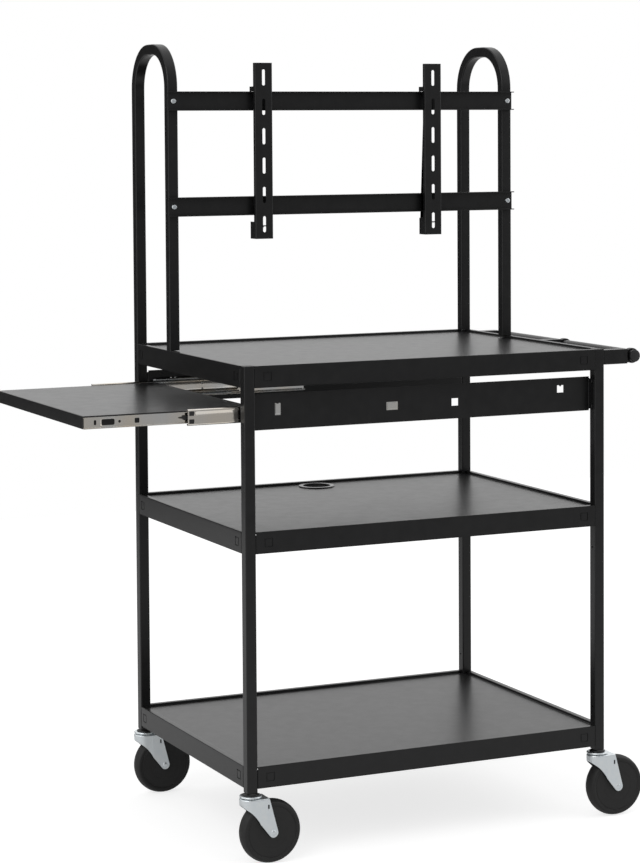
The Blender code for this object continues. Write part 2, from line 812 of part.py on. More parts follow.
def build_cages():
    """Ball cages, which travel half as far as the member that they carry."""
    middle_of_slide = slide_left + slide_length / 2
    outer_left = middle_of_slide - outer_cage_length / 2 - first_stage_travel / 2
    inner_left_end = (middle_of_slide - inner_cage_length / 2 - first_stage_travel
                      - second_stage_travel / 2)
    outer_web = slide_sheet + seat_gap + cage_sheet / 2
    inner_web = middle_web_offset + slide_sheet + seat_gap + cage_sheet / 2
    rows = (("outer", outer_cage_stage, outer_left, outer_cage_length, outer_web,
             race_offset_outer, outer_ball_height, outer_ball_radius),
            ("inner", inner_cage_stage, inner_left_end, inner_cage_length, inner_web,
             race_offset_inner, inner_ball_height, inner_ball_radius))
    for kind, stage, left, length, web, race, height, radius in rows:
        far = race + cage_half_width
        section = [(far, height), (web, height), (web, -height), (far, -height)]
        pitch = length / balls_per_race
        for end, end_name in ((-1, "front"), (1, "rear")):
            cage = add_slide_piece(f"slide_{end_name}_{kind}_cage", member_strip(section, length),
                                   left, end, stage)
            thicken(cage, cage_sheet, 0.0)
            balls = bmesh.new()
            for row in (-1, 1):
                for step in range(balls_per_race):
                    centre = (pitch * (step + ball_place), -end * race, row * height)
                    bmesh.ops.create_uvsphere(balls, u_segments=6, v_segments=4, radius=radius,
                                              matrix=Matrix.Translation(centre))
            combine(cage, balls, "UNION")


ball_place = 0.5


def build_end_stops():
    """Black stops in the windows at the outer end of each middle member, joined by a bridge."""
    low = middle_web_offset - bumper_stand
    high = middle_web_offset + slide_sheet + bumper_stand
    bridge_low = middle_web_offset + slide_sheet + bumper_stand / 2
    for end, end_name in ((-1, "front"), (1, "rear")):
        work = bmesh.new()
        low_y, high_y = sorted((-end * bridge_low, -end * (bridge_low + cage_sheet)))
        add_box(work, (0, low_y, -bumper_spread), (bumper_bridge, high_y, bumper_spread))
        stop = add_slide_piece(f"slide_{end_name}_end_stop", bmesh.new(), middle_left, end, middle_stage)
        work.to_mesh(stop.data)
        work.free()
        stop.data.materials[0] = black_plastic
        blocks = bmesh.new()
        near_y, far_y = sorted((-end * low, -end * high))
        for row in (-1, 1):
            middle = row * bumper_spread
            add_box(blocks, (bumper_inset - bumper_length / 2, near_y, middle - bumper_height / 2),
                    (bumper_inset + bumper_length / 2, far_y, middle + bumper_height / 2))
        combine(stop, blocks, "UNION")


def build_levers():
    """Release levers that lie in the channels of the inner members."""
    tip = lever_height / 4
    outline = [(0, -tip), (lever_length / 3, -lever_height / 2), (lever_length, -lever_height / 2),
               (lever_length, lever_height / 2), (lever_length / 3, lever_height / 2), (0, tip)]
    face = slide_face - slide_depth + slide_sheet + seat_gap + lever_thickness / 2
    base = tray_stage.location
    for end, end_name in ((-1, "front"), (1, "rear")):
        spot = Vector((inner_left + lever_inset, end * face, slide_middle)) - base
        add_piece(f"slide_{end_name}_lever", plate_mesh([outline], lever_thickness), black_plastic,
                  frame(spot, (1, 0, 0), (0, 0, 1)), tray_stage)


def build_tray():
    """The pull-out tray: a folded pan with its rim down and a hem inside it."""
    work = bmesh.new()
    low = Vector((inner_left, -tray_half_depth))
    high = Vector((inner_left + slide_length, tray_half_depth))
    bmesh.ops.create_grid(work, x_segments=1, y_segments=1, size=1)
    for vert in work.verts:
        vert.co = (high.x if vert.co.x > 0 else low.x, high.y if vert.co.y > 0 else low.y, 0)
    edge = pull_edges(work, [e for e in work.edges if e.is_boundary], (0, 0, -tray_height))
    bmesh.ops.recalc_face_normals(work, faces=work.faces)
    top = max(work.faces, key=lambda face: face.calc_center_median().z)
    if top.normal.z < 0:
        bmesh.ops.reverse_faces(work, faces=work.faces)
    corners = [e for e in work.edges if not e.is_boundary
               and abs(e.verts[0].co.z - e.verts[1].co.z) > tray_height / 2]
    bmesh.ops.bevel(work, geom=corners, offset=tray_corner, segments=2, profile=0.5, affect="EDGES")
    edge = [e for e in work.edges if e.is_boundary]
    grown = bmesh.ops.extrude_edge_only(work, edges=edge)["geom"]
    centre = (low + high) / 2
    for vert in (part for part in grown if isinstance(part, bmesh.types.BMVert)):
        for axis in (0, 1):
            reach = (high - low)[axis] / 2 - tray_hem
            offset = vert.co[axis] - centre[axis]
            vert.co[axis] = centre[axis] + math.copysign(min(abs(offset), reach), offset)
    base = tray_stage.location
    tray = add_piece("pull_out_tray", work, black_paint,
                     Matrix.Translation(Vector((0, 0, tray_top)) - base), tray_stage)
    thicken(tray, tray_sheet)
    cuts = bmesh.new()
    for end in (-1, 1):
        for inset in tray_screw_insets:
            direction = Vector((0, -end, 0))
            hole = Vector((inner_left + inset, end * tray_half_depth, slide_middle - tray_top))
            add_hole(cuts, hole, direction, screw_radius + screw_clearance, tray_sheet + overrun)
    combine(tray, cuts)


def handle_arm_places():
    """Middle of each handle arm along the depth of the cart."""
    pitch = leg_y - handle_rear_inset / 2
    return [-leg_y + step * pitch for step in range(3)]


def handle_bolt_seats():
    """Seats inside the right apron for the bolts of the middle and rear arms."""
    for place in handle_arm_places()[1:]:
        seat_x = cart_width / 2 - shelf_sheet - seat_gap
        yield Vector((seat_x, place, handle_axis_height)), Vector((1, 0, 0))


def build_handle():
    """Three cast arms with eyes, the tube that runs through them, its caps and the bolts."""
    start = cart_width / 2 + seat_gap
    stop = handle_axis_x - handle_arm_stop
    half = handle_arm_height / 2
    bore = handle_tube_radius + seat_gap
    for place, where in zip(handle_arm_places(), ("front", "middle", "rear")):
        origin = Vector((start, place, handle_axis_height))
        bar = [(0, -half), (stop - start, -half), (stop - start, half), (0, half)]
        mesh = plate_mesh([bar], handle_arm_depth)
        arm = add_piece(f"handle_arm_{where}", mesh, black_paint,
                        frame(origin, (1, 0, 0), (0, 0, 1)))
        eye = bmesh.new()
        reach = handle_axis_x - start
        neck = [(stop - start - overrun, -half + overrun), (reach, -half + overrun),
                (reach, half - overrun), (stop - start - overrun, half - overrun)]
        back = Matrix.Translation((0, 0, -handle_eye_setback))
        add_mesh(eye, plate_mesh([neck], handle_eye_depth), back)
        combine(arm, eye, "UNION")
        disc = bmesh.new()
        add_mesh(disc, plate_mesh([circle((reach, 0), handle_eye_radius, 20)],
                                  handle_eye_depth + eye_proud), back)
        combine(arm, disc, "UNION")
        cuts = bmesh.new()
        add_rod(cuts, (reach, 0, -handle_arm_depth), (reach, 0, handle_arm_depth), bore, 20)
        add_rod(cuts, (-overrun, 0, 0), (handle_bolt_reach, 0, 0), handle_bolt_radius + seat_gap, 8)
        combine(arm, cuts)
    front = -cart_depth / 2 - handle_tube_overhang
    rear = handle_arm_places()[-1] + handle_arm_depth / 2 + handle_tube_overhang
    length = rear - front
    outlines = [circle((0, 0), handle_tube_radius, 20),
                circle((0, 0), handle_tube_radius - handle_tube_wall, 10)]
    place = frame((handle_axis_x, (front + rear) / 2, handle_axis_height), (1, 0, 0), (0, 0, 1))
    add_piece("handle_tube", plate_mesh(outlines, length), black_paint, place, turned=True)

    plug = handle_tube_radius - handle_tube_wall - seat_gap - facet_gap
    dome = [(0, handle_cap_dome), (handle_tube_radius / 2, handle_cap_dome * dome_shares[0]),
            (handle_tube_radius * dome_shares[1], handle_cap_dome / 2),
            (handle_tube_radius, seat_gap), (plug, seat_gap), (plug, -handle_cap_plug),
            (0, -handle_cap_plug)]
    mesh = turned_mesh(dome, 20)
    for name, spot, direction in (("front", front, 1), ("rear", rear, -1)):
        place = Vector((handle_axis_x, spot, handle_axis_height))
        add_piece(f"handle_cap_{name}", mesh.copy(), black_plastic,
                  seat_matrix(place, Vector((0, direction, 0))), turned=True)


eye_proud = 0.0006
facet_gap = 0.0005
dome_shares = (0.9, 0.85)


def hoop_points():
    """The line of a hoop in its own plane: up the rear post, over and down the front post."""
    centre_height = hoop_top - leg_size / 2 - hoop_bend_radius
    points = [(leg_y, top_rim)]
    points += arc((leg_y - hoop_bend_radius, centre_height), hoop_bend_radius, 0, math.pi / 2,
                  hoop_bend_steps)
    points += arc((hoop_front_y + hoop_bend_radius, centre_height), hoop_bend_radius, math.pi / 2,
                  math.pi, hoop_bend_steps)
    points.append((hoop_front_y, hoop_foot))
    return points


def build_hoops():
    """Two bent hoops of the same square tube as the legs."""
    section = bpy.data.curves.new("hoop_section", "CURVE")
    section.dimensions = "2D"
    outline = rounded_rectangle(leg_size, leg_size, leg_corner, 1)
    spline = section.splines.new("POLY")
    spline.points.add(len(outline) - 1)
    for point, (x, y) in zip(spline.points, outline):
        point.co = (x, y, 0, 1)
    spline.use_cyclic_u = True
    section_holder = bpy.data.objects.new("hoop_section", section)
    cutter_collection.objects.link(section_holder)
    section_holder.hide_render = True
    section_holder.display_type = "WIRE"
    path = bpy.data.curves.new("hoop", "CURVE")
    path.dimensions = "3D"
    path.bevel_mode = "OBJECT"
    path.bevel_object = section_holder
    points = hoop_points()
    spline = path.splines.new("POLY")
    spline.points.add(len(points) - 1)
    for point, (y, z) in zip(spline.points, points):
        point.co = (0, y, z, 1)
    holder = bpy.data.objects.new("hoop", path)
    bpy.context.scene.collection.objects.link(holder)
    mesh = evaluated_mesh(holder)
    bpy.data.objects.remove(holder)
    bpy.data.objects.remove(section_holder)
    work = bmesh.new()
    work.from_mesh(mesh)
    outside = max(work.faces, key=lambda face: face.calc_center_median().z)
    if outside.normal.z < 0:
        bmesh.ops.reverse_faces(work, faces=work.faces)
    work.to_mesh(mesh)
    work.free()
    for side, side_name in ((-1, "left"), (1, "right")):
        hoop = add_piece(f"hoop_{side_name}", mesh.copy(), black_paint,
                         Matrix.Translation((side * leg_x, 0, 0)))
        thicken(hoop, leg_wall)
        cuts = bmesh.new()
        for height in (upper_rail_height, lower_rail_height):
            seat = Vector((0, rail_face - rail_sheet, height))
            add_hole(cuts, seat, Vector((0, 1, 0)), screw_radius + screw_clearance,
                     rail_sheet + screw_reach)
        foot = bmesh.new()
        nut = plate_mesh([rounded_rectangle(leg_size - leg_wall, leg_size - leg_wall, leg_corner / 2, 1)],
                         hoop_nut_plate)
        add_mesh(foot, nut, Matrix.Translation((0, hoop_front_y, hoop_foot + hoop_nut_plate / 2)))
        combine(hoop, foot, "UNION")
        bolt_x = side * (foot_bolt_x - leg_x)
        add_rod(cuts, (bolt_x, hoop_front_y, hoop_foot - overrun),
                (bolt_x, hoop_front_y, hoop_foot + hoop_nut_plate + overrun), screw_radius, 6)
        combine(hoop, cuts)

    inner = plug_size - 2 * hoop_spigot_wall
    spigot = plate_mesh([rounded_rectangle(plug_size, plug_size, plug_corner, 1),
                         rounded_rectangle(inner, inner, leg_corner - leg_wall, 1)],
                        hoop_spigot_length)
    middle = top_rim - hoop_spigot_length / 2 + hoop_spigot_stand
    for side, side_name in ((-1, "left"), (1, "right")):
        add_piece(f"hoop_spigot_{side_name}", spigot.copy(), zinc,
                  Matrix.Translation((side * leg_x, leg_y, middle)))


hoop_spigot_stand = 0.110


def build_rails():
    """Two channels across the front posts of the hoops."""
    half = rail_height / 2
    for name, height in (("upper", upper_rail_height), ("lower", lower_rail_height)):
        work = bmesh.new()
        bmesh.ops.create_grid(work, x_segments=1, y_segments=1, size=1)
        for vert in work.verts:
            vert.co = (math.copysign(cart_width / 2, vert.co.x), 0, math.copysign(half, vert.co.y))
        for row in (-1, 1):
            edge = edges_where(work, lambda co: near(co.z, row * half))
            pull_edges(work, edge, (0, -rail_depth, 0))
        bmesh.ops.recalc_face_normals(work, faces=work.faces)
        web = max(work.faces, key=lambda face: face.calc_center_median().y)
        if web.normal.y < 0:
            bmesh.ops.reverse_faces(work, faces=work.faces)
        rail = add_piece(f"screen_rail_{name}", work, black_paint,
                         Matrix.Translation((0, rail_face, height)))
        thicken(rail, rail_sheet)
        cuts = bmesh.new()
        for side in (-1, 1):
            seat = Vector((side * leg_x, -rail_sheet - seat_gap, 0))
            add_hole(cuts, seat, Vector((0, 1, 0)), screw_radius + screw_clearance, screw_reach)
        combine(rail, cuts)


def build_brackets():
    """Two upright channels that hook over the upper rail, each with a lock screw from below."""
    half = bracket_width / 2
    rail_front = rail_face - rail_depth - bracket_clearance
    rail_back = rail_face + bracket_clearance
    back = rail_back + hook_tooth
    front = rail_front - bracket_depth
    middle = (bracket_bottom + bracket_top) / 2
    upper_top = upper_rail_height + rail_height / 2 + bracket_clearance - middle
    foot = lower_rail_height - rail_height / 2 - hook_drop - overrun - middle
    far = back - front + overrun
    notch = rail_front - front
    high = bracket_top - middle + overrun
    above = [(notch, upper_top + hook_height), (far, upper_top + hook_height), (far, high),
             (notch, high)]
    below = [(notch, foot), (far, foot), (far, upper_top - hook_drop),
             (rail_back - front, upper_top - hook_drop), (rail_back - front, upper_top),
             (notch, upper_top)]
    for side, side_name in ((-1, "left"), (1, "right")):
        work = bmesh.new()
        bmesh.ops.create_grid(work, x_segments=1, y_segments=1, size=1)
        for vert in work.verts:
            vert.co = (math.copysign(half, vert.co.x), 0,
                       math.copysign((bracket_top - bracket_bottom) / 2, vert.co.y))
        for edge_side in (-1, 1):
            edge = edges_where(work, lambda co: near(co.x, edge_side * half))
            pull_edges(work, edge, (0, back - front, 0))
        bmesh.ops.recalc_face_normals(work, faces=work.faces)
        web = min(work.faces, key=lambda face: face.calc_center_median().y)
        if web.normal.y > 0:
            bmesh.ops.reverse_faces(work, faces=work.faces)
        place = (side * bracket_spacing / 2, front, middle)
        bracket = add_piece(f"screen_bracket_{side_name}", work, black_paint,
                            Matrix.Translation(place))
        thicken(bracket, bracket_sheet)
        tab = bmesh.new()
        tab_top = foot - lock_tab_drop
        add_box(tab, (-half + bracket_sheet / 2, bracket_sheet / 2, tab_top - bracket_sheet),
                (half - bracket_sheet / 2, back - front, tab_top))
        combine(bracket, tab, "UNION")
        cuts = bmesh.new()
        for outline in (above, below):
            add_mesh(cuts, plate_mesh([outline], bracket_width + 2 * overrun),
                     frame((0, 0, 0), (0, 1, 0), (0, 0, 1)))
        pitch = (bracket_top - bracket_bottom) / bracket_slot_count
        for step in range(bracket_slot_count):
            centre = bracket_bottom - middle + pitch * (step + 0.5)
            outline = rounded_rectangle(bracket_slot_width, bracket_slot_length,
                                        bracket_slot_width / 2, 1, (0, centre))
            add_mesh(cuts, plate_mesh([outline], 2 * bracket_sheet + overrun),
                     frame((0, 0, 0), (1, 0, 0), (0, 0, 1)))
        screw_depth = (rail_front + rail_back) / 2 - front
        add_rod(cuts, (0, screw_depth, tab_top - bracket_sheet - overrun),
                (0, screw_depth, tab_top + overrun), lock_screw_radius + seat_gap, 8)
        combine(bracket, cuts)
        seat = Vector((place[0], front + screw_depth, middle + tab_top - bracket_sheet - seat_gap))
        reach = lower_rail_height - rail_height / 2 - seat_gap - seat.z
        profile = [(0, reach), (lock_screw_radius, reach), (lock_screw_radius, 0),
                   (lock_screw_head, 0), (lock_screw_head * pan_share, -lock_screw_radius),
                   (0, -lock_screw_radius)]
        add_piece(f"bracket_lock_screw_{side_name}", turned_mesh(profile, 10), zinc,
                  Matrix.Translation(seat), turned=True)


lock_tab_drop = 0.008


def caster_places():
    """Name and swivel axis of each caster."""
    for end, end_name in ((-1, "front"), (1, "rear")):
        for side, side_name in ((-1, "left"), (1, "right")):
            yield f"{end_name}_{side_name}", side * leg_x, end * leg_y


def build_sockets():
    """Plastic sockets pressed into the legs' lower ends, each with a flared skirt below."""
    plug = plate_mesh([rounded_rectangle(plug_size, plug_size, plug_corner, 1)],
                      stem_length + socket_head)
    skirt = [(0, 0), (leg_size / 2, 0), (skirt_radius * skirt_share, -skirt_height / 2),
             (skirt_radius, -skirt_height + seat_gap), (0, -skirt_height + seat_gap)]
    skirt_mesh = turned_mesh(skirt, 14)
    lift = (stem_length + socket_head) / 2 - skirt_height / 2
    for name, x, y in caster_places():
        socket = add_piece(f"caster_socket_{name}", plug.copy(), black_plastic,
                           Matrix.Translation((x, y, leg_bottom + lift)))
        flare = bmesh.new()
        add_mesh(flare, skirt_mesh, Matrix.Translation((0, 0, -seat_gap - lift)))
        combine(socket, flare, "UNION")
        bore = bmesh.new()
        add_rod(bore, (0, 0, -2 * skirt_height - lift), (0, 0, stem_length - lift),
                stem_radius + seat_gap, 14)
        combine(socket, bore)


socket_head = 0.006
skirt_share = 0.78
fork_shoulder = 0.0070
fork_back_top = 0.0312
fork_edge_reach = (-0.0146, -0.0037, 0.0055, 0.0132)
fork_edge_drop = (0.0195, 0.0280, 0.0385, 0.0515)
fork_slot_size = (0.0030, 0.0080)
fork_slot_reach = 0.0298
fork_slot_drop = 0.0165


def fork_side_outline():
    """The side view of a fork: broad under the crown, narrowing to the axle."""
    tip = (caster_trail, wheel_radius)
    round_tip = arc(tip, fork_tip_radius, math.radians(215), math.radians(375), 5)
    above = fork_top + overrun
    edge = [(reach, fork_top - drop) for reach, drop in zip(fork_edge_reach, fork_edge_drop)]
    return [(-fork_nose - overrun, above), (-fork_nose - overrun, fork_top - fork_shoulder),
            (-fork_nose + fork_sheet, fork_top - fork_shoulder), *edge, *round_tip,
            (fork_back_top, above)]


def axle_mesh():
    """A rivet axle with a low head outside each side of the fork."""
    half = fork_width / 2
    end = half + axle_head_height
    profile = [(0, end), (axle_head_radius * cup_shares[1], end),
               (axle_head_radius, half - fork_sheet / 2), (axle_radius, half - fork_sheet / 2)]
    return turned_mesh(mirrored(profile), 8)


def build_fork(name, stage):
    """A pressed fork: a crown with a skirt folded down round it, trimmed to its side view.

    The axle is riveted into the two sides, so it is one piece with them.
    """
    half = fork_width / 2
    nose = arc((-fork_nose + half, 0), half, math.pi / 2, 3 * math.pi / 2, 7)
    back = caster_trail + fork_tip_radius + overrun
    outline = [(back, half)] + nose + [(back, -half)]
    work = bmesh.new()
    verts = [work.verts.new((x, y, fork_top)) for x, y in outline]
    crown = work.faces.new(verts)
    if crown.normal.z < 0:
        crown.normal_flip()
    crown.normal_update()
    if crown.normal.z < 0:
        bmesh.ops.reverse_faces(work, faces=[crown])
    skirt = [edge for edge in work.edges
             if not (near(edge.verts[0].co.x, back) and near(edge.verts[1].co.x, back))]
    pull_edges(work, skirt, (0, 0, -(fork_top - wheel_radius + fork_tip_radius + overrun)))
    bmesh.ops.recalc_face_normals(work, faces=work.faces)
    top = max(work.faces, key=lambda face: face.calc_center_median().z)
    if top.normal.z < 0:
        bmesh.ops.reverse_faces(work, faces=work.faces)
    fork = add_piece(f"fork_{name}", work, zinc, Matrix(), stage)
    thicken(fork, fork_sheet)
    trim = bmesh.new()
    add_mesh(trim, plate_mesh([fork_side_outline()], 2 * fork_width),
             frame((0, 0, 0), (1, 0, 0), (0, 0, 1)))
    combine(fork, trim, "INTERSECT")
    axle = bmesh.new()
    add_mesh(axle, axle_mesh(), frame((caster_trail, 0, wheel_radius), (1, 0, 0), (0, 0, 1)))
    combine(fork, axle, "UNION")
    cuts = bmesh.new()
    add_rod(cuts, (0, 0, fork_top - fork_sheet - overrun), (0, 0, fork_top + overrun),
            king_pin_radius + running_clearance, 14)
    slot = rounded_rectangle(*fork_slot_size, fork_slot_size[0] / 4, 1,
                             (fork_slot_reach, fork_top - fork_slot_drop))
    add_mesh(cuts, plate_mesh([slot], 2 * fork_width), frame((0, 0, 0), (1, 0, 0), (0, 0, 1)))
    combine(fork, cuts)


def wheel_profile():
    """Half section of a wheel from its bore to its crowned tread."""
    bore = axle_radius + running_clearance
    half = wheel_width / 2
    side = [(bore, hub_width / 2), (hub_radius, hub_width / 2),
            (hub_radius * hub_foot_share, half - web_recess), (tread_radius, half - web_recess),
            (wheel_radius * shoulder_shares[0], half), (wheel_radius * shoulder_shares[1], half / 2),
            (wheel_radius, half * crown_share)]
    return mirrored(side)


hub_foot_share = 1.25
web_recess = 0.0012
shoulder_shares = (0.905, 0.978)
crown_share = 0.22


def build_casters():
    """Cup, fork and wheel of each caster."""
    cup_top = leg_bottom - skirt_height - seat_gap
    race = cup_top - cup_height
    neck = race - race_gap
    under = fork_top - fork_sheet - race_gap
    cup = [(0, leg_bottom + stem_length - seat_gap), (stem_radius, leg_bottom + stem_length - seat_gap),
           (stem_radius, cup_top), (cup_radius * cup_shares[0], cup_top),
           (cup_radius, cup_top - cup_height / 3), (cup_radius, race + cup_height / 4),
           (cup_radius * cup_shares[1], race), (king_pin_radius, race),
           (king_pin_radius, under), (king_pin_head_radius, under),
           (king_pin_head_radius, under - king_pin_head_height / 2),
           (king_pin_radius, under - king_pin_head_height), (0, under - king_pin_head_height)]
    cup_mesh = turned_mesh(cup, 14)
    wheel_mesh = turned_mesh(wheel_profile(), 24)
    for name, x, y in caster_places():
        add_piece(f"caster_cup_{name}", cup_mesh.copy(), zinc, Matrix.Translation((x, y, 0)),
                  turned=True)
        swivel = bpy.data.objects.new(f"swivel_{name}", None)
        cart_collection.objects.link(swivel)
        swivel.parent = cart
        swivel.location = (x, y, 0)
        build_fork(name, swivel)
        hub = frame((caster_trail, 0, wheel_radius), (1, 0, 0), (0, 0, 1))
        add_piece(f"wheel_{name}", wheel_mesh.copy(), tyre_black, hub, swivel, turned=True)


cup_shares = (0.93, 0.90)


def make_stage(name, location):
    """An empty that carries the pieces of one moving stage of the slides."""
    stage = bpy.data.objects.new(name, None)
    cart_collection.objects.link(stage)
    stage.parent = cart
    stage.location = location
    return stage


for old in list(bpy.data.objects):
    bpy.data.objects.remove(old)

cart_collection = bpy.data.collections.new("television_cart")
cutter_collection = bpy.data.collections.new("cutters")
bpy.context.scene.collection.children.link(cart_collection)
bpy.context.scene.collection.children.link(cutter_collection)

black_paint = make_material("black_powder_coat", (0.022, 0.022, 0.023), 0.42, 0.0)
black_plastic = make_material("black_plastic", (0.018, 0.018, 0.018), 0.50, 0.0)
tyre_black = make_material("wheel_rubber", (0.028, 0.028, 0.028), 0.62, 0.0)
zinc = make_material("bright_zinc", (0.72, 0.74, 0.76), 0.28, 1.0)

cart = bpy.data.objects.new("tv_cart", None)
cart_collection.objects.link(cart)
cart.location = (origin_shift, 0, 0)

middle_stage = make_stage("middle_stage", (middle_left, 0, slide_middle))
tray_stage = make_stage("tray_stage", (inner_left, 0, slide_middle))
outer_cage_stage = make_stage("outer_cage_stage", (slide_left, 0, slide_middle))
inner_cage_stage = make_stage("inner_cage_stage", (middle_left, 0, slide_middle))

build_legs()
build_leg_caps()
build_shelf("shelf_top", top_rim, top_shelf_cuts)
build_shelf("shelf_middle", middle_rim, grommet_cut)
build_shelf("shelf_bottom", bottom_rim)
build_grommet()
build_panel("slide_panel_front", -1)
build_panel("slide_panel_rear", 1)
build_slides()
build_tray()
build_handle()
build_hoops()
build_rails()
build_brackets()
build_sockets()
build_casters()
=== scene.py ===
# %% [markdown]
# # Dressing a rolling steel cart
#
# The cart is already a set of plain solids that sit in their right places and move on their
# joints. This lesson gives it what a picture needs: rolled edges on the folded sheet, bent square
# tube, screws, turned wheels, pressed forks, and finishes that look like powder coat, zinc,
# plastic and rubber. Each new piece stands in for the solid of the same name and rides with it.

# %% Load the solids
import math

import bmesh
import bpy
from mathutils import Matrix, Vector


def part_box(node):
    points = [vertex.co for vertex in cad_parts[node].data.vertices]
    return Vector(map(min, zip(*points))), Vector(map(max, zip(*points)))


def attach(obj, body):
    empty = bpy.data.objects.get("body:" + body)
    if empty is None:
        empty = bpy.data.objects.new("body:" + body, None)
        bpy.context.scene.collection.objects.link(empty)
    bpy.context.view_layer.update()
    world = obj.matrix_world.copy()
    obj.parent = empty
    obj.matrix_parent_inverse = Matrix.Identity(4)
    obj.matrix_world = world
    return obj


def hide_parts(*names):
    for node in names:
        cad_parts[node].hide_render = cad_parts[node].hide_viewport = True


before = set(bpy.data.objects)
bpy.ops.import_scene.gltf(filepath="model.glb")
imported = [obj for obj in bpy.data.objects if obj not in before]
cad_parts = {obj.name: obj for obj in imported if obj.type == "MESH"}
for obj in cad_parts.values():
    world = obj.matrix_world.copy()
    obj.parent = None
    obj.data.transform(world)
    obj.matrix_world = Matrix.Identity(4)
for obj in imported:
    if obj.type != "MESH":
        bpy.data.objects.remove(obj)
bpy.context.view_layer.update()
bpy.context.scene.view_settings.view_transform = "Standard"
bpy.ops.object.select_all(action="DESELECT")
print("solids loaded:", len(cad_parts))

# %% [markdown]
# The solids give the sizes. Every piece below is drawn about the middle of the cart, where left
# and right are simply minus and plus, and moved sideways by one shift at the end.

# %% Sizes read from the solids
shelf_low, shelf_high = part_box("shelf_top")
cart_shift = (shelf_low.x + shelf_high.x) / 2
cart_half_width = (shelf_high.x - shelf_low.x) / 2
cart_half_depth = (shelf_high.y - shelf_low.y) / 2
rims = {name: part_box("shelf_" + name)[1].z for name in ("top", "middle", "bottom")}
leg_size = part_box("leg_front_left")[1].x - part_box("leg_front_left")[0].x
leg_x = cart_half_width - leg_size / 2
leg_y = cart_half_depth - leg_size / 2
leg_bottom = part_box("leg_front_left")[0].z
seat_gap = 0.0003
print("cart", round(2 * cart_half_width, 4), "by", round(2 * cart_half_depth, 4), "rims", rims)

# %% [markdown]
# ## The camera
#
# The place and the lens were worked out from the straight edges of the shelves and legs, whose
# real sizes are known. A small upward shift of the lens keeps the tall hoops in the frame while
# the camera looks down only a little, as a photographer does to keep upright posts upright.

# %% Camera
frame_height = 863
horizon_row = 258.9
lens_pixels = 2497.64
sensor_width = 36
camera_turn, camera_tilt, camera_roll = 0.4320, -0.0517, -0.0064
cart_widths = 0.8128
camera_place = Vector((-2.8245, -5.8532, 1.7765)) * cart_widths + Vector((cart_shift, 0, 0))

level_right = Vector((math.cos(camera_turn), -math.sin(camera_turn), 0))
level_ahead = Vector((math.sin(camera_turn), math.cos(camera_turn), 0))
ahead = math.cos(camera_tilt) * level_ahead + math.sin(camera_tilt) * Vector((0, 0, 1))
level_up = -math.sin(camera_tilt) * level_ahead + math.cos(camera_tilt) * Vector((0, 0, 1))
across = math.cos(camera_roll) * level_right + math.sin(camera_roll) * level_up
upward = -math.sin(camera_roll) * level_right + math.cos(camera_roll) * level_up

bpy.ops.object.camera_add()
camera = bpy.context.object
camera.name = "camera"
camera.matrix_world = (Matrix.Translation(camera_place)
                       @ Matrix((across, upward, -ahead)).transposed().to_4x4())
camera.data.sensor_width = sensor_width
camera.data.lens = lens_pixels / frame_height * sensor_width
camera.data.shift_y = -(frame_height / 2 - horizon_row) / frame_height
bpy.context.scene.camera = camera
print("lens", round(camera.data.lens, 1), "mm, shift", round(camera.data.shift_y, 3))

# %% [markdown]
# ## The studio
#
# Black paint has almost no colour of its own. What is seen on it is the room: white paper to the
# left, right and behind, a darker room behind the camera and a dark opening far back on the left,
# past the edge of the paper floor. So the world is white with two soft dark patches, and the
# surfaces find their own light and shade by reflecting it. Seen directly, it is plain white.

# %% Adding shader nodes
def add_node(tree, kind, **inputs):
    """Add a shader node and set its named inputs."""
    node = tree.nodes.new("ShaderNode" + kind)
    for name, value in inputs.items():
        socket = node.inputs[name.replace("_", " ")]
        if isinstance(value, bpy.types.NodeSocket):
            tree.links.new(value, socket)
        else:
            socket.default_value = value
    return node


def blend_values(tree, factor, low, high):
    """A number that runs from low to high as the factor goes from 0 to 1."""
    node = add_node(tree, "MapRange", Value=factor, To_Min=low, To_Max=high)
    return node.outputs["Result"]


def combined(tree, operation, first, second):
    """One number made from two, such as their product or the larger one."""
    node = add_node(tree, "Math")
    node.operation = operation
    tree.links.new(first, node.inputs[0])
    tree.links.new(second, node.inputs[1])
    return node.outputs["Value"]


# %% A dark patch in the room
def dark_patch(tree, towards, far, near, level):
    """A number that falls smoothly from 1 to a level as a ray turns towards a direction."""
    direction = add_node(tree, "TexCoord").outputs["Generated"]
    facing = add_node(tree, "VectorMath")
    facing.operation = "DOT_PRODUCT"
    tree.links.new(direction, facing.inputs[0])
    facing.inputs[1].default_value = Vector(towards).normalized()
    patch = add_node(tree, "MapRange", Value=facing.outputs["Value"], From_Min=far, From_Max=near,
                     To_Min=1.0, To_Max=level)
    patch.interpolation_type = "SMOOTHSTEP"
    return patch.outputs["Result"]


# %% World
world = bpy.data.worlds.new("studio")
bpy.context.scene.world = world
world.use_nodes = True
tree = world.node_tree
tree.nodes.clear()
behind_camera = dark_patch(tree, (0.1, -0.99, 0), 0.35, 0.85, 0.34)
back_left = dark_patch(tree, (-0.40, 0.91, 0.02), 0.88, 0.97, 0.03)
room = combined(tree, "MULTIPLY", behind_camera, back_left)
path = add_node(tree, "LightPath")
mirrored = combined(tree, "MAXIMUM", path.outputs["Is Glossy Ray"],
                    path.outputs["Is Transmission Ray"])
plain_level = 0.62
level = blend_values(tree, mirrored, plain_level, room)
seen = combined(tree, "MAXIMUM", level, path.outputs["Is Camera Ray"])
sky = add_node(tree, "Background", Color=(1, 1, 1, 1), Strength=seen)
output = tree.nodes.new("ShaderNodeOutputWorld")
tree.links.new(sky.outputs["Background"], output.inputs["Surface"])
print("world ready")

# %% [markdown]
# The floor is white paper. A little of its own light is added where the camera or a glossy
# surface sees it, so that it melts into the white background, and the soft shadows under the
# casters stay.

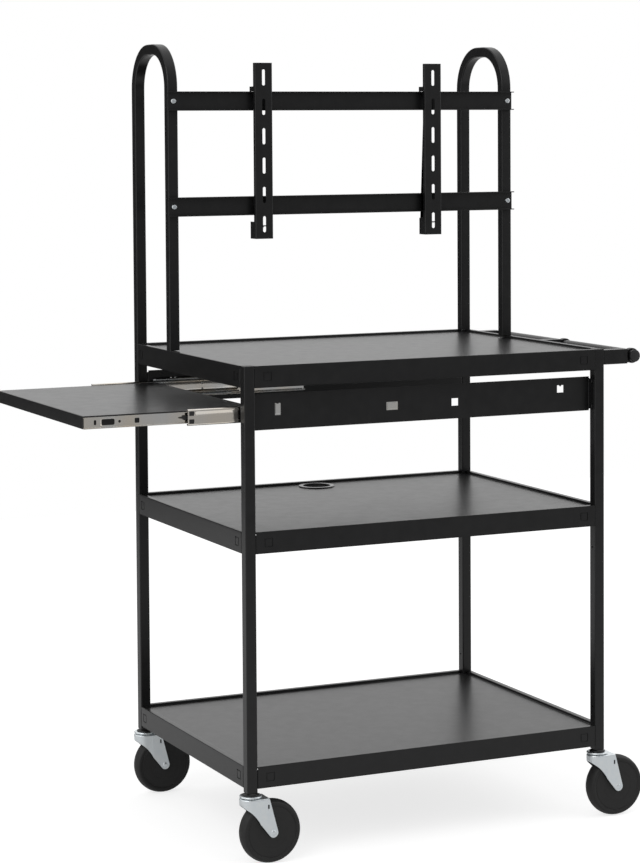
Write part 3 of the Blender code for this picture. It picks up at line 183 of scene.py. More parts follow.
# %% Floor
floor_size = 7
bpy.ops.mesh.primitive_plane_add(size=floor_size, location=(cart_shift, 0.6, 0))
floor = bpy.context.object
floor.name = "floor"
bpy.ops.object.transform_apply(location=True, rotation=True, scale=True)
paper = bpy.data.materials.new("white_paper")
paper.use_nodes = True
tree = paper.node_tree
tree.nodes.clear()
grain = add_node(tree, "TexNoise", Scale=90.0, Detail=4.0)
tone = add_node(tree, "MapRange", Value=grain.outputs["Fac"], To_Min=0.55, To_Max=0.57)
matt = add_node(tree, "BsdfDiffuse", Color=tone.outputs["Result"])
path = add_node(tree, "LightPath")
mirrored_glow, camera_glow = 0.30, 0.74
glow = blend_values(tree, path.outputs["Is Camera Ray"], mirrored_glow, camera_glow)
own_light = add_node(tree, "Emission", Color=(1, 1, 1, 1), Strength=glow)
both = add_node(tree, "AddShader")
tree.links.new(matt.outputs["BSDF"], both.inputs[0])
tree.links.new(own_light.outputs["Emission"], both.inputs[1])
seen = combined(tree, "MAXIMUM", path.outputs["Is Camera Ray"], path.outputs["Is Glossy Ray"])
choose = add_node(tree, "MixShader", Fac=seen)
tree.links.new(matt.outputs["BSDF"], choose.inputs[1])
tree.links.new(both.outputs["Shader"], choose.inputs[2])
output = tree.nodes.new("ShaderNodeOutputMaterial")
tree.links.new(choose.outputs["Shader"], output.inputs["Surface"])
floor.data.materials.append(paper)
print("floor ready")

# %% [markdown]
# Two soft boxes shape the round pieces: a large one high on the left, and a weaker one on the
# right. They are wide, so no edge throws a hard shadow.

# %% Lamps
def add_soft_box(name, place, aim, size, power):
    """A square area lamp that looks at a point."""
    bpy.ops.object.light_add(type="AREA", location=place)
    lamp = bpy.context.object
    lamp.name = name
    lamp.data.size = size
    lamp.data.energy = power
    lamp.rotation_euler = (Vector(aim) - Vector(place)).to_track_quat("-Z", "Y").to_euler()
    return lamp


lamps = [add_soft_box("lamp_left", (-3.2, -2.4, 3.6), (cart_shift, 0, 0.7), 2.6, 44),
         add_soft_box("lamp_right", (3.4, -2.0, 2.6), (cart_shift, 0, 0.7), 2.2, 16)]
print("lamps", [lamp.name for lamp in lamps])

# %% [markdown]
# ## The finishes
#
# Powder coat is a baked plastic film: black, half glossy, with a fine orange-peel skin and a few
# places that are a touch duller than the rest. All finishes read object coordinates, so their
# grain keeps its real size on a short screw and on a long shelf.

# %% Starting a finish
def new_finish(name, colour, roughness, metallic=0.0):
    """A Principled finish and its node tree."""
    finish = bpy.data.materials.new(name)
    finish.use_nodes = True
    finish.diffuse_color = (*colour, 1)
    shader = finish.node_tree.nodes["Principled BSDF"]
    shader.inputs["Base Color"].default_value = (*colour, 1)
    shader.inputs["Roughness"].default_value = roughness
    shader.inputs["Metallic"].default_value = metallic
    return finish, finish.node_tree, shader


# %% Grain, colour and relief
def grain_noise(tree, scale, stretch=(1, 1, 1), detail=3.0):
    """Noise on object coordinates, stretched along chosen axes."""
    place = add_node(tree, "TexCoord").outputs["Object"]
    mapping = add_node(tree, "Mapping", Vector=place, Scale=stretch)
    noise = add_node(tree, "TexNoise", Vector=mapping.outputs["Vector"], Scale=scale, Detail=detail)
    return noise.outputs["Fac"]


def two_colours(tree, factor, dark, light):
    """A colour between two, chosen by a number."""
    ramp = tree.nodes.new("ShaderNodeValToRGB")
    ramp.color_ramp.elements[0].position = 0.3
    ramp.color_ramp.elements[0].color = (*dark, 1)
    ramp.color_ramp.elements[1].position = 0.7
    ramp.color_ramp.elements[1].color = (*light, 1)
    tree.links.new(factor, ramp.inputs["Fac"])
    return ramp.outputs["Color"]


def roughness_between(tree, shader, factor, low, high):
    """Let the roughness wander between two values."""
    spread = add_node(tree, "MapRange", Value=factor, From_Min=0.3, From_Max=0.7, To_Min=low,
                      To_Max=high)
    tree.links.new(spread.outputs["Result"], shader.inputs["Roughness"])


def raise_skin(tree, shader, height, depth, strength):
    """A fine relief from a height number, with its real depth in metres."""
    bump = add_node(tree, "Bump", Height=height, Distance=depth, Strength=strength)
    tree.links.new(bump.outputs["Normal"], shader.inputs["Normal"])


# %% Black powder coat
powder_coat, tree, shader = new_finish("black_powder_coat", (0.0085, 0.0085, 0.009), 0.31)
shader.inputs["Specular IOR Level"].default_value = 0.36
skin = grain_noise(tree, 420)
patches = grain_noise(tree, 45, detail=5.0)
tree.links.new(two_colours(tree, patches, (0.0070, 0.0070, 0.0074), (0.0100, 0.0100, 0.0104)),
               shader.inputs["Base Color"])
roughness_between(tree, shader, patches, 0.295, 0.325)
raise_skin(tree, shader, skin, 0.00016, 0.4)
print("powder coat ready")

# %% [markdown]
# The zinc comes in two kinds. The forks and cups are pressed and then plated, so they are bright
# with a faint cloudy bloom. The slides are rolled from plated strip, which leaves long fine lines
# along them, and their clear passivation drifts between straw and pale blue along the strip. Both
# are metal with a little noise on it; for the strip the noise is stretched along its length.

# %% Zinc
plated_zinc, tree, shader = new_finish("bright_zinc", (0.76, 0.80, 0.82), 0.36, 1.0)
bloom = grain_noise(tree, 70)
tree.links.new(two_colours(tree, bloom, (0.73, 0.78, 0.81), (0.79, 0.825, 0.84)),
               shader.inputs["Base Color"])
roughness_between(tree, shader, bloom, 0.34, 0.40)
raise_skin(tree, shader, grain_noise(tree, 900), 0.00005, 0.2)

rolled_zinc, tree, shader = new_finish("rolled_zinc", (0.80, 0.775, 0.73), 0.13, 1.0)
drift = grain_noise(tree, 14, stretch=(1, 0.3, 0.3), detail=1.0)
tree.links.new(two_colours(tree, drift, (0.74, 0.78, 0.82), (0.86, 0.79, 0.69)),
               shader.inputs["Base Color"])
lines = grain_noise(tree, 160, stretch=(0.2, 12, 12))
roughness_between(tree, shader, lines, 0.11, 0.16)
raise_skin(tree, shader, lines, 0.00003, 0.12)
print("zinc ready")

# %% [markdown]
# The caps, the grommet and the stops are moulded black plastic with a fine matt grain. The wheels
# are hard rubber: greyer, matt, with a dusty bloom from the floor. Black things differ mostly in
# their gloss, so the roughness is what sets them apart, and their colours are nearly the same.

# %% Plastic and rubber
black_plastic, tree, shader = new_finish("black_plastic", (0.011, 0.011, 0.0115), 0.46)
grain = grain_noise(tree, 1400)
tree.links.new(two_colours(tree, grain_noise(tree, 40), (0.009, 0.009, 0.0095),
                           (0.014, 0.014, 0.0145)), shader.inputs["Base Color"])
roughness_between(tree, shader, grain, 0.42, 0.52)
raise_skin(tree, shader, grain, 0.00008, 0.35)

glossy_plastic, tree, shader = new_finish("glossy_black_plastic", (0.011, 0.011, 0.0115), 0.2)
grain = grain_noise(tree, 300)
roughness_between(tree, shader, grain, 0.17, 0.24)

wheel_rubber, tree, shader = new_finish("wheel_rubber", (0.015, 0.015, 0.015), 0.6)
shader.inputs["Specular IOR Level"].default_value = 0.4
dust = grain_noise(tree, 55, detail=5.0)
tree.links.new(two_colours(tree, dust, (0.012, 0.012, 0.012), (0.019, 0.0187, 0.0184)),
               shader.inputs["Base Color"])
roughness_between(tree, shader, dust, 0.50, 0.66)
raise_skin(tree, shader, grain_noise(tree, 800), 0.00010, 0.4)
print("plastic and rubber ready")

# %% Give the solids their finishes
slot_finish = {"black_powder_coat": powder_coat, "bright_zinc": plated_zinc,
               "black_plastic": black_plastic, "wheel_rubber": wheel_rubber}
for name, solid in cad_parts.items():
    wanted = next((finish for slot, finish in slot_finish.items()
                   if solid.data.materials and solid.data.materials[0].name.startswith(slot)),
                  powder_coat)
    for place in range(len(solid.material_slots)):
        solid.material_slots[place].material = wanted
print("solids finished:", len(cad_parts))

# %% [markdown]
# ## Working by hand, in code
#
# Each piece starts as a primitive and is then shaped in edit mode, just as it would be with the
# mouse. The helpers below do what the mouse does: make one object active, pick faces or edges by
# where they are, and leave edit mode again.

# %% Opening and closing a piece
def close():
    """Leave edit mode."""
    bpy.ops.object.mode_set(mode="OBJECT")


def only(piece):
    """Leave edit mode and select one piece alone."""
    if bpy.context.object and bpy.context.object.mode != "OBJECT":
        close()
    bpy.ops.object.select_all(action="DESELECT")
    piece.select_set(True)
    bpy.context.view_layer.objects.active = piece


def shape(piece):
    """Open a piece in edit mode with nothing selected."""
    only(piece)
    bpy.ops.object.mode_set(mode="EDIT")
    bpy.ops.mesh.select_all(action="DESELECT")


def everything():
    """Select the whole mesh."""
    bpy.ops.mesh.select_all(action="SELECT")


# %% Picking by place
def centre_of(part):
    """The middle of a vertex, an edge or a face."""
    if isinstance(part, bmesh.types.BMVert):
        return part.co
    return sum((vert.co for vert in part.verts), Vector()) / len(part.verts)


def pick(piece, kind, test):
    """Select the vertices, edges or faces that pass a test, and nothing else."""
    bpy.ops.mesh.select_mode(type=kind)
    bpy.ops.mesh.select_all(action="DESELECT")
    mesh = bmesh.from_edit_mesh(piece.data)
    parts = {"VERT": mesh.verts, "EDGE": mesh.edges, "FACE": mesh.faces}[kind]
    for part in parts:
        if test(part):
            part.select_set(True)
    mesh.select_flush_mode()
    bmesh.update_edit_mesh(piece.data)


def near(a, b):
    """Whether two lengths agree to a tenth of a millimetre."""
    return abs(a - b) < 0.0001


# %% Starting shapes
def place_in_mesh():
    """Move an object's place, turn and scale into its mesh."""
    bpy.ops.object.transform_apply(location=True, rotation=True, scale=True)


def block(low, high):
    """A box between two corners, with its place in its mesh."""
    low, high = Vector(low), Vector(high)
    bpy.ops.object.select_all(action="DESELECT")
    bpy.ops.mesh.primitive_cube_add(size=1, location=(low + high) / 2, scale=high - low)
    place_in_mesh()
    return bpy.context.object


def rod(start, end, radius, sides=32):
    """A round bar between two points, with its place in its mesh."""
    start, end = Vector(start), Vector(end)
    turn = (end - start).to_track_quat("Z", "X").to_euler()
    bpy.ops.object.select_all(action="DESELECT")
    bpy.ops.mesh.primitive_cylinder_add(vertices=sides, radius=radius, depth=(end - start).length,
                                        location=(start + end) / 2, rotation=turn)
    place_in_mesh()
    return bpy.context.object


# %% Modifiers
def apply_modifier(piece, kind, **settings):
    """Add a modifier, set it and apply it."""
    only(piece)
    modifier = piece.modifiers.new(kind.lower(), kind)
    for name, value in settings.items():
        setattr(modifier, name, value)
    bpy.ops.object.modifier_apply(modifier=modifier.name)


def cut_away(piece, *tools, operation="DIFFERENCE"):
    """Cut, join or trim a piece with other pieces, which are then removed."""
    for tool in tools:
        apply_modifier(piece, "BOOLEAN", operation=operation, solver="EXACT", object=tool)
        bpy.data.objects.remove(tool)


def soften(piece, width, steps, limit=40):
    """Break the sharp edges, as paint and tumbling do on real parts."""
    apply_modifier(piece, "BEVEL", width=width, segments=steps, limit_method="ANGLE",
                   angle_limit=math.radians(limit), use_clamp_overlap=True)


# %% [markdown]
# A finished piece is moved from the middle of the cart to its real place, with that place held in
# its mesh. Then it is told which solid it stands for, which body it moves with and which finish
# it takes. Its flat faces are given the say over its rounded edges, so that they stay flat to
# the eye.

# %% Settling a finished piece
new_pieces = []


def signed_volume(piece):
    """Positive when the faces point outwards."""
    mesh = bmesh.new()
    mesh.from_mesh(piece.data)
    volume = mesh.calc_volume(signed=True)
    mesh.free()
    return volume


def settle(piece, name, finish, body, slot, *solids, smooth=40):
    """Put a finished piece in its place and let it stand for its solids."""
    only(piece)
    piece.location.x += cart_shift
    place_in_mesh()
    if signed_volume(piece) < 0:
        bpy.ops.object.mode_set(mode="EDIT")
        everything()
        bpy.ops.mesh.flip_normals()
        close()
    bpy.ops.object.shade_smooth_by_angle(angle=math.radians(smooth))
    apply_modifier(piece, "WEIGHTED_NORMAL", keep_sharp=True)
    piece.name = name
    piece.data.name = name
    piece.data.materials.clear()
    piece.data.materials.append(finish)
    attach(piece, body)
    if solids:
        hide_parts(*solids)
    new_pieces.append(piece)


# %% Copies
def copied(piece, shift=(0, 0, 0), flip=None):
    """A copy with its own mesh, moved, and mirrored across the middle of the cart if asked."""
    only(piece)
    bpy.ops.object.duplicate()
    copy = bpy.context.object
    copy.location = shift
    if flip is not None:
        copy.scale[flip] = -1
    place_in_mesh()
    return copy


# %% [markdown]
# ## The legs
#
# The legs are square steel tube with small rounded corners. A cube is stretched to the leg's size,
# its four upright edges are rounded, and its two ends are inset by the thickness of the wall and
# bridged, which drives the bore through. Cutting the bore with a second block would do as well,
# but bridged faces stay four-sided and tidy. The two small holes on each inner face are spare.

# %% Square tube
tube_wall = 0.00165
tube_corner = 0.0025


def round_along(piece, axis, radius, steps):
    """Round the edges of a block that run along one axis."""
    pick(piece, "EDGE", lambda edge: not near(edge.verts[0].co[axis], edge.verts[1].co[axis]))
    bpy.ops.mesh.bevel(offset=radius, segments=steps, affect="EDGES")


def square_tube(low, high):
    """An upright square tube between two corners."""
    tube = block(low, high)
    shape(tube)
    round_along(tube, 2, tube_corner, 5)
    pick(tube, "FACE", lambda face: abs(face.normal.z) > 0.9)
    bpy.ops.mesh.inset(thickness=tube_wall)
    bpy.ops.mesh.bridge_edge_loops()
    close()
    return tube


# %% Legs
spare_heights = (rims["bottom"] + 0.039, rims["middle"] - 0.089)
spare_radius = 0.0022
for end_name, end in (("front", -1), ("rear", 1)):
    for side_name, side in (("left", -1), ("right", 1)):
        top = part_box(f"leg_{end_name}_{side_name}")[1].z
        x, y, half = side * leg_x, end * leg_y, leg_size / 2
        leg = square_tube((x - half, y - half, leg_bottom), (x + half, y + half, top))
        for height in spare_heights:
            inner = x - side * half
            cut_away(leg, rod((inner - side * 0.002, y, height), (inner + side * 0.004, y, height),
                              spare_radius, 20))
        soften(leg, 0.0002, 2)
        settle(leg, f"leg_{end_name}_{side_name}_tube", powder_coat, "cart", "black_powder_coat",
               f"leg_{end_name}_{side_name}")
print("legs", leg_size, "square")

# %% [markdown]
# Plastic plugs close the front legs. Only their flat heads show, flush with the shelf rim. The
# plug below is drawn out of the head's underside, so head and plug are one closed piece.

# %% Leg caps
cap_height = 0.002
for side_name, side in (("left", -1), ("right", 1)):
    low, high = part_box(f"leg_cap_{side_name}")
    x, half = side * leg_x, leg_size / 2
    cap = block((x - half, -leg_y - half, rims["top"] - cap_height),
                (x + half, -leg_y + half, rims["top"]))
    shape(cap)
    round_along(cap, 2, tube_corner, 5)
    pick(cap, "FACE", lambda face: face.normal.z > 0.9)
    bpy.ops.mesh.bevel(offset=0.0006, segments=3, affect="EDGES")
    pick(cap, "FACE", lambda face: face.normal.z < -0.9)
    bpy.ops.mesh.inset(thickness=tube_wall + seat_gap)
    plug = (0, 0, low.z - rims["top"] + cap_height)
    bpy.ops.mesh.extrude_region_move(TRANSFORM_OT_translate={"value": plug})
    close()
    settle(cap, f"leg_cap_{side_name}_plug", black_plastic, "cart", "black_plastic",
           f"leg_cap_{side_name}")
print("caps", 2)

# %% [markdown]
# ## The shelves
#
# A shelf is one sheet of steel. Its edges are folded up into a lip, out, down into an apron and
# back under in a hem, and the ends of the aprons turn in as flanges that are screwed to the legs.
# The sheet is drawn as a surface and folded by extruding its edges. The folds are then rounded,
# and only after that does the sheet get its thickness, so that every bend has an inside and an
# outside radius, as a press brake leaves it.

# %% Folding sheet
def rectangle(middle, half_width, half_height, turn=(0, 0, 0)):
    """A flat sheet about a point, open in edit mode."""
    bpy.ops.object.select_all(action="DESELECT")
    bpy.ops.mesh.primitive_plane_add(size=2, location=middle, rotation=turn)
    sheet = bpy.context.object
    sheet.scale = (half_width, half_height, 1)
    place_in_mesh()
    shape(sheet)
    return sheet


def fold(*moves):
    """Extrude the selected edges of a sheet by each move in turn."""
    for move in moves:
        bpy.ops.mesh.extrude_edges_move(TRANSFORM_OT_translate={"value": move})


def round_folds(piece, radius, steps=3):
    """Round every fold of an open sheet."""
    everything()
    bpy.ops.mesh.remove_doubles(threshold=0.00001)
    bpy.ops.mesh.normals_make_consistent(inside=False)
    pick(piece, "EDGE", lambda edge: len(edge.link_faces) == 2 and edge.calc_face_angle() > 0.5)
    bpy.ops.mesh.bevel(offset=radius, segments=steps, affect="EDGES")


# %% The drawn side and the thickness
def turn_outwards(piece, direction):
    """Make the face that lies furthest along a direction look that way, and the rest with it."""
    direction = Vector(direction)
    mesh = bmesh.from_edit_mesh(piece.data)
    furthest = max((face for face in mesh.faces if abs(face.normal.dot(direction)) > 0.9),
                   key=lambda face: face.calc_center_median().dot(direction))
    if furthest.normal.dot(direction) < 0:
        everything()
        bpy.ops.mesh.flip_normals()
    close()


def thicken(piece, thickness):
    """Give a folded sheet its thickness behind the drawn side."""
    apply_modifier(piece, "SOLIDIFY", thickness=thickness, offset=-1, use_even_offset=True)


# %% The floor of a shelf
shelf_sheet = 0.0012
lip_height, lip_width = 0.005, 0.012
apron_height, hem_width = 0.0433, 0.012
flange_width, flange_relief = 0.0205, 0.0016
shelf_fold_radius = 0.0014
flange_x = cart_half_width - leg_size - seat_gap
flange_y = cart_half_depth - leg_size - seat_gap


def shelf_floor(level):
    """A flat sheet with its corners cut out for the legs."""
    shelf = rectangle((0, 0, level), cart_half_width - lip_width, cart_half_depth - lip_width)
    for axis, place in ((0, flange_x), (1, flange_y)):
        for side in (-1, 1):
            spot, normal = Vector((0, 0, level)), Vector((0, 0, 0))
            spot[axis], normal[axis] = side * place, 1
            everything()
            bpy.ops.mesh.bisect(plane_co=spot, plane_no=normal)
    pick(shelf, "FACE", lambda face: abs(centre_of(face).x) > flange_x
         and abs(centre_of(face).y) > flange_y)
    bpy.ops.mesh.delete(type="FACE")
    return shelf


# %% Folding a shelf
def folded_shelf(rim):
    """The sheet of one shelf, folded all round."""
    level, low = rim - lip_height, rim - apron_height
    shelf = shelf_floor(level)
    for axis, wall in ((0, cart_half_width - lip_width), (1, cart_half_depth - lip_width)):
        for side in (-1, 1):
            out = [0, 0, 0]
            out[axis] = side * lip_width
            pick(shelf, "EDGE", lambda edge: edge.is_boundary
                 and near(centre_of(edge)[axis], side * wall)
                 and near(centre_of(edge).z, level))
            fold((0, 0, lip_height), out, (0, 0, -lip_height - flange_relief),
                 (0, 0, low + 2 * flange_relief + lip_height - rim), (0, 0, -flange_relief),
                 [-value * hem_width / lip_width for value in out])
    for axis, wide, end in ((0, cart_half_width, flange_y), (1, cart_half_depth, flange_x)):
        for side in (-1, 1):
            inward = [0, 0, 0]
            inward[axis] = -side * flange_width
            pick(shelf, "EDGE", lambda edge: edge.is_boundary
                 and near(centre_of(edge)[axis], side * wide)
                 and near(abs(centre_of(edge)[1 - axis]), end)
                 and low + flange_relief < centre_of(edge).z < level - flange_relief)
            fold(inward)
    round_folds(shelf, shelf_fold_radius)
    turn_outwards(shelf, (0, 0, 1))
    thicken(shelf, shelf_sheet)
    return shelf


# %% [markdown]
# Beside each leg the aprons carry a square knockout: its outline is pressed almost through the
# sheet, all round but for a small tab in one corner. A square ring with a gap sinks it. A
# texture could draw the line, but a real groove catches the light from every side.

# %% Square knockouts
square_size, square_line, square_tab, square_depth = 0.018, 0.0021, 0.0026, 0.00108
square_inset_front, square_inset_side = 0.0268, 0.0215


def square_knockouts(shelf, rim, skip):
    """Sink the square outlines into the aprons of a shelf, but for a place that is covered."""
    height = rim - apron_height / 2
    inner = square_size / 2 - square_line
    for side in (-1, 1):
        for end in (-1, 1):
            places = [(side * (leg_x - leg_size / 2 - square_inset_front), end * cart_half_depth, 1)]
            if not (skip and side > 0 and end > 0):
                places.append((side * cart_half_width,
                               end * (leg_y - leg_size / 2 - square_inset_side), 0))
            for x, y, axis in places:
                thick = Vector((square_depth, square_depth, 0))
                thick[1 - axis] = 0
                wide = Vector((square_size / 2, square_size / 2, square_size / 2))
                hole = Vector((inner, inner, inner))
                wide[axis], hole[axis] = square_depth, 2 * square_depth
                middle = Vector((x, y, height))
                ring = block(middle - wide, middle + wide)
                tab = Vector((square_tab, square_tab, square_tab)) / 2
                tab[axis] = 2 * square_depth
                corner = middle + Vector((wide.x, wide.y, -wide.z))
                corner[axis] = middle[axis]
                cut_away(ring, block(middle - hole, middle + hole), block(corner - tab, corner + tab))
                cut_away(shelf, ring)


# %% Shelves
for name, rim in rims.items():
    shelf = folded_shelf(rim)
    square_knockouts(shelf, rim, name == "top")
    if name == "middle":
        low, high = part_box("cable_grommet")
        opening_y = (low.y + high.y) / 2
        opening_radius = 0.0323
        cut_away(shelf, rod((0, opening_y, rim - 0.02), (0, opening_y, rim), opening_radius, 48))
    soften(shelf, 0.00022, 2, 50)
    settle(shelf, f"shelf_{name}_folded", powder_coat, "cart", "black_powder_coat", f"shelf_{name}")
    print("shelf", name, len(shelf.data.polygons), "faces")

# %% [markdown]
# ## Turned pieces
#
# Anything round starts from one vertex, drawn along half a profile and spun about an axis: the
# grommet, the wheels, the cups, the screw heads. A cylinder could be cut and scaled ring by ring
# instead, but a drawn profile holds every radius and rounding in one line of numbers.

# %% Turning a profile
def drawn_line(points):
    """A line of edges through points, open in edit mode."""
    bpy.ops.object.select_all(action="DESELECT")
    bpy.ops.mesh.primitive_plane_add(size=0.001)
    bpy.ops.object.mode_set(mode="EDIT")
    everything()
    bpy.ops.mesh.merge(type="CENTER")
    bpy.ops.mesh.select_mode(type="VERT")
    everything()
    bpy.ops.transform.translate(value=points[0])
    for old, new in zip(points, points[1:]):
        move = tuple(b - a for a, b in zip(old, new))
        bpy.ops.mesh.extrude_vertices_move(TRANSFORM_OT_translate={"value": move})
    return bpy.context.object


def turned(points, place=(0, 0, 0), axis=(0, 0, 1), steps=48):
    """Spin a half profile of (radius, height) points and stand it at a place along an axis."""
    piece = drawn_line([(radius, 0, height) for radius, height in points])
    everything()
    bpy.ops.mesh.spin(steps=steps, angle=2 * math.pi, center=(0, 0, 0), axis=(0, 0, 1))
    everything()
    bpy.ops.mesh.remove_doubles(threshold=0.00002)
    bpy.ops.mesh.normals_make_consistent(inside=False)
    close()
    piece.rotation_euler = Vector(axis).to_track_quat("Z", "X").to_euler()
    piece.location = place
    place_in_mesh()
    return piece


# %% Rounded corners of a profile
def round_corner(centre, radius, start, end, steps=6):
    """Points on an arc, for a rounded corner of a profile."""
    turns = [math.radians(start + (end - start) * step / steps) for step in range(steps + 1)]
    return [(centre[0] + radius * math.cos(turn), centre[1] + radius * math.sin(turn))
            for turn in turns]


# %% [markdown]
# A moulded ring lines the cable opening of the middle shelf. It clips in from above, so it has a
# thin neck below and a broad rounded flange that lies on the sheet. Its profile begins and ends
# at the same point, away from the axis, so the spin closes it into a ring.

# %% Cable grommet
low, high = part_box("cable_grommet")
tray_level = rims["middle"] - lip_height
flange_top = high.z - tray_level
flange_radius = (high.x - low.x) / 2
profile = [(0.030, -0.012), (0.032, -0.012), (0.032, seat_gap), (flange_radius, seat_gap)]
profile += round_corner((flange_radius - 0.0016, flange_top - 0.0016), 0.0016, 0, 90)
profile += round_corner((0.0314, flange_top - 0.0014), 0.0014, 90, 180)
profile.append(profile[0])
grommet = turned(profile, ((low.x + high.x) / 2 - cart_shift, (low.y + high.y) / 2, tray_level),
                 steps=72)
settle(grommet, "cable_grommet_ring", glossy_plastic, "cart", "black_plastic", "cable_grommet")
print("grommet", round(2 * flange_radius, 4))

# %% [markdown]
# ## The hoops
#
# Each hoop is one length of the legs' square tube, bent twice. A small square with rounded
# corners is drawn on top of the rear leg, its edges are pulled up to the start of the bend, spun
# a quarter turn about the bend's centre, pulled forward, spun again, and pulled down to the shelf.
# A curve with a square section would be quicker, but this keeps each bend's centre exact and the
# straight parts free of extra rings. The second hoop is a copy.

# %% Bending a hoop
hoop_low, hoop_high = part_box("hoop_left")
hoop_front_y = hoop_low.y + leg_size / 2
bend_radius = 0.082
bend_height = hoop_high.z - leg_size / 2 - bend_radius


def bent_hoop():
    """One hoop in the plane of the left legs."""
    bpy.ops.object.select_all(action="DESELECT")
    bpy.ops.mesh.primitive_plane_add(size=leg_size, location=(-leg_x, leg_y, rims["top"]))
    place_in_mesh()
    hoop = bpy.context.object
    bpy.ops.object.mode_set(mode="EDIT")
    bpy.ops.mesh.select_mode(type="VERT")
    everything()
    bpy.ops.mesh.bevel(offset=tube_corner, segments=4, affect="VERTICES")
    everything()
    bpy.ops.mesh.delete(type="ONLY_FACE")
    bpy.ops.mesh.select_mode(type="EDGE")
    everything()
    fold((0, 0, bend_height - rims["top"]))
    for middle_y in (leg_y - bend_radius, hoop_front_y + bend_radius):
        bpy.ops.mesh.spin(steps=16, angle=math.pi / 2, center=(-leg_x, middle_y, bend_height),
                          axis=(-1, 0, 0))
        if middle_y > hoop_front_y + bend_radius:
            fold((0, hoop_front_y + 2 * bend_radius - leg_y, 0))
    fold((0, 0, rims["top"] + seat_gap - bend_height))
    everything()
    bpy.ops.mesh.remove_doubles(threshold=0.00001)
    bpy.ops.mesh.normals_make_consistent(inside=False)
    turn_outwards(hoop, (0, 0, 1))
    thicken(hoop, tube_wall)
    return hoop


# %% Hoops
left_hoop = bent_hoop()
right_hoop = copied(left_hoop, shift=(2 * leg_x, 0, 0))
settle(left_hoop, "hoop_left_tube", powder_coat, "cart", "black_powder_coat", "hoop_left")
settle(right_hoop, "hoop_right_tube", powder_coat, "cart", "black_powder_coat", "hoop_right")

# %% [markdown]
# ## The slide panels
#
# A folded panel spans the legs at the front and at the rear, just under the top shelf. Its ends
# turn forward as flanges. Four windows are punched in it, and the hooks of the slide show in two.
# The windows could be drawn in the sheet from the start. Punching them last, with a cutter each,
# is simpler and leaves their edges as crisp as a punch does. The rear panel is a mirror image.

# %% The panel and its windows
upright = (math.pi / 2, 0, 0)
panel_sheet = 0.0015
panel_low, panel_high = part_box("slide_panel_front")
panel_middle = (panel_low.z + panel_high.z) / 2
panel_half = (panel_high.z - panel_low.z) / 2
panel_face = panel_high.y - panel_sheet
panel_flange, panel_fold_radius, panel_relief = 0.020, 0.0012, 0.004
# Place along the cart, lift above the panel's middle, width and height, and if it has a tooth.
windows = ((-0.3254, 0.0051, (0.0134, 0.0255), True), (-0.0744, -0.0024, (0.0268, 0.0166), False),
           (0.0677, -0.0018, (0.0163, 0.0152), False), (0.3140, 0.0127, (0.0155, 0.0153), True))
tooth_half, punch_start, punch_end = 0.0021, -0.4, -0.2


def window_cutter(x, z, size, tooth):
    """A punch for one window, with a small tooth that points down where there is one."""
    punch = block((x - size[0] / 2, punch_start, z - size[1] / 2),
                  (x + size[0] / 2, punch_end, z + size[1] / 2))
    if tooth:
        notch = block((-tooth_half, punch_start - 0.01, -tooth_half),
                      (tooth_half, punch_end + 0.01, tooth_half))
        notch.rotation_euler.y = math.radians(45)
        notch.location = (x, 0, z + size[1] / 2)
        only(notch)
        place_in_mesh()
        cut_away(punch, notch)
    return punch


# %% A front piece and its twin
def settle_both(front, name, finish, body, slot, solid):
    """Settle a front piece, and its mirror image at the rear of the cart."""
    for where, piece in (("front", front), ("rear", copied(front, flip=1))):
        settle(piece, name.format(where), finish, body, slot, solid.format(where))


# %% Folding and punching a panel
def turn_largest(piece, forward):
    """Turn a sheet's largest face to the front, or to the rear for a negative."""
    mesh = bmesh.from_edit_mesh(piece.data)
    largest = max(mesh.faces, key=lambda face: face.calc_area())
    if largest.normal.y * forward > 0:
        everything()
        bpy.ops.mesh.flip_normals()


def folded_panel():
    """The front panel, its modelled side towards the front."""
    end = flange_x - panel_sheet
    panel = rectangle((0, panel_face, panel_middle), end, panel_half, upright)
    for side in (-1, 1):
        everything()
        bpy.ops.mesh.bisect(plane_co=(0, 0, panel_middle + side * (panel_half - panel_relief)),
                            plane_no=(0, 0, 1))
    for side in (-1, 1):
        pick(panel, "EDGE", lambda edge: edge.is_boundary and near(centre_of(edge).x, side * end)
             and abs(centre_of(edge).z - panel_middle) < panel_half - panel_relief)
        fold((0, -panel_flange, 0))
    round_folds(panel, panel_fold_radius)
    turn_largest(panel, 1)
    close()
    thicken(panel, panel_sheet)
    for x, lift, size, tooth in windows:
        cut_away(panel, window_cutter(x, panel_middle + lift, size, tooth))
    soften(panel, 0.00025, 2, 50)
    return panel


panel = folded_panel()
settle_both(panel, "slide_panel_{}_folded", powder_coat, "cart", "black_powder_coat",
            "slide_panel_{}")
print("panels", len(panel.data.polygons), "faces each")

# %% [markdown]
# ## The ball slides
#
# A ball slide is three strips of sheet, each rolled into a channel, one inside the other. The
# lips of the outer two curl round rows of steel balls. Each channel is one upright web whose
# edges are folded across the slide and then a little towards its middle; rounding those folds
# with a radius nearly as long as the folds turns them into races.

# %% Where the slide members stand
fixed_low, fixed_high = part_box("slide_front_fixed_member")
middle_low, middle_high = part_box("slide_front_middle_member")
inner_low, inner_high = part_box("slide_front_inner_member")
fixed_left, fixed_length = fixed_low.x - cart_shift, fixed_high.x - fixed_low.x
middle_left, middle_length = middle_low.x - cart_shift, middle_high.x - middle_low.x
inner_left, inner_length = inner_low.x - cart_shift, inner_high.x - inner_low.x
slide_face = -0.2808
slide_middle_z = (inner_low.z + inner_high.z) / 2
slide_sheet, cage_sheet = 0.0012, 0.0005
print("slide members from", round(fixed_left, 4), round(middle_left, 4), round(inner_left, 4))


# %% Pressing a rib
def pick_web(channel, web):
    """Select the faces that lie in the plane of a channel's web."""
    pick(channel, "FACE", lambda face: near(face.calc_center_median().y, slide_face + web))


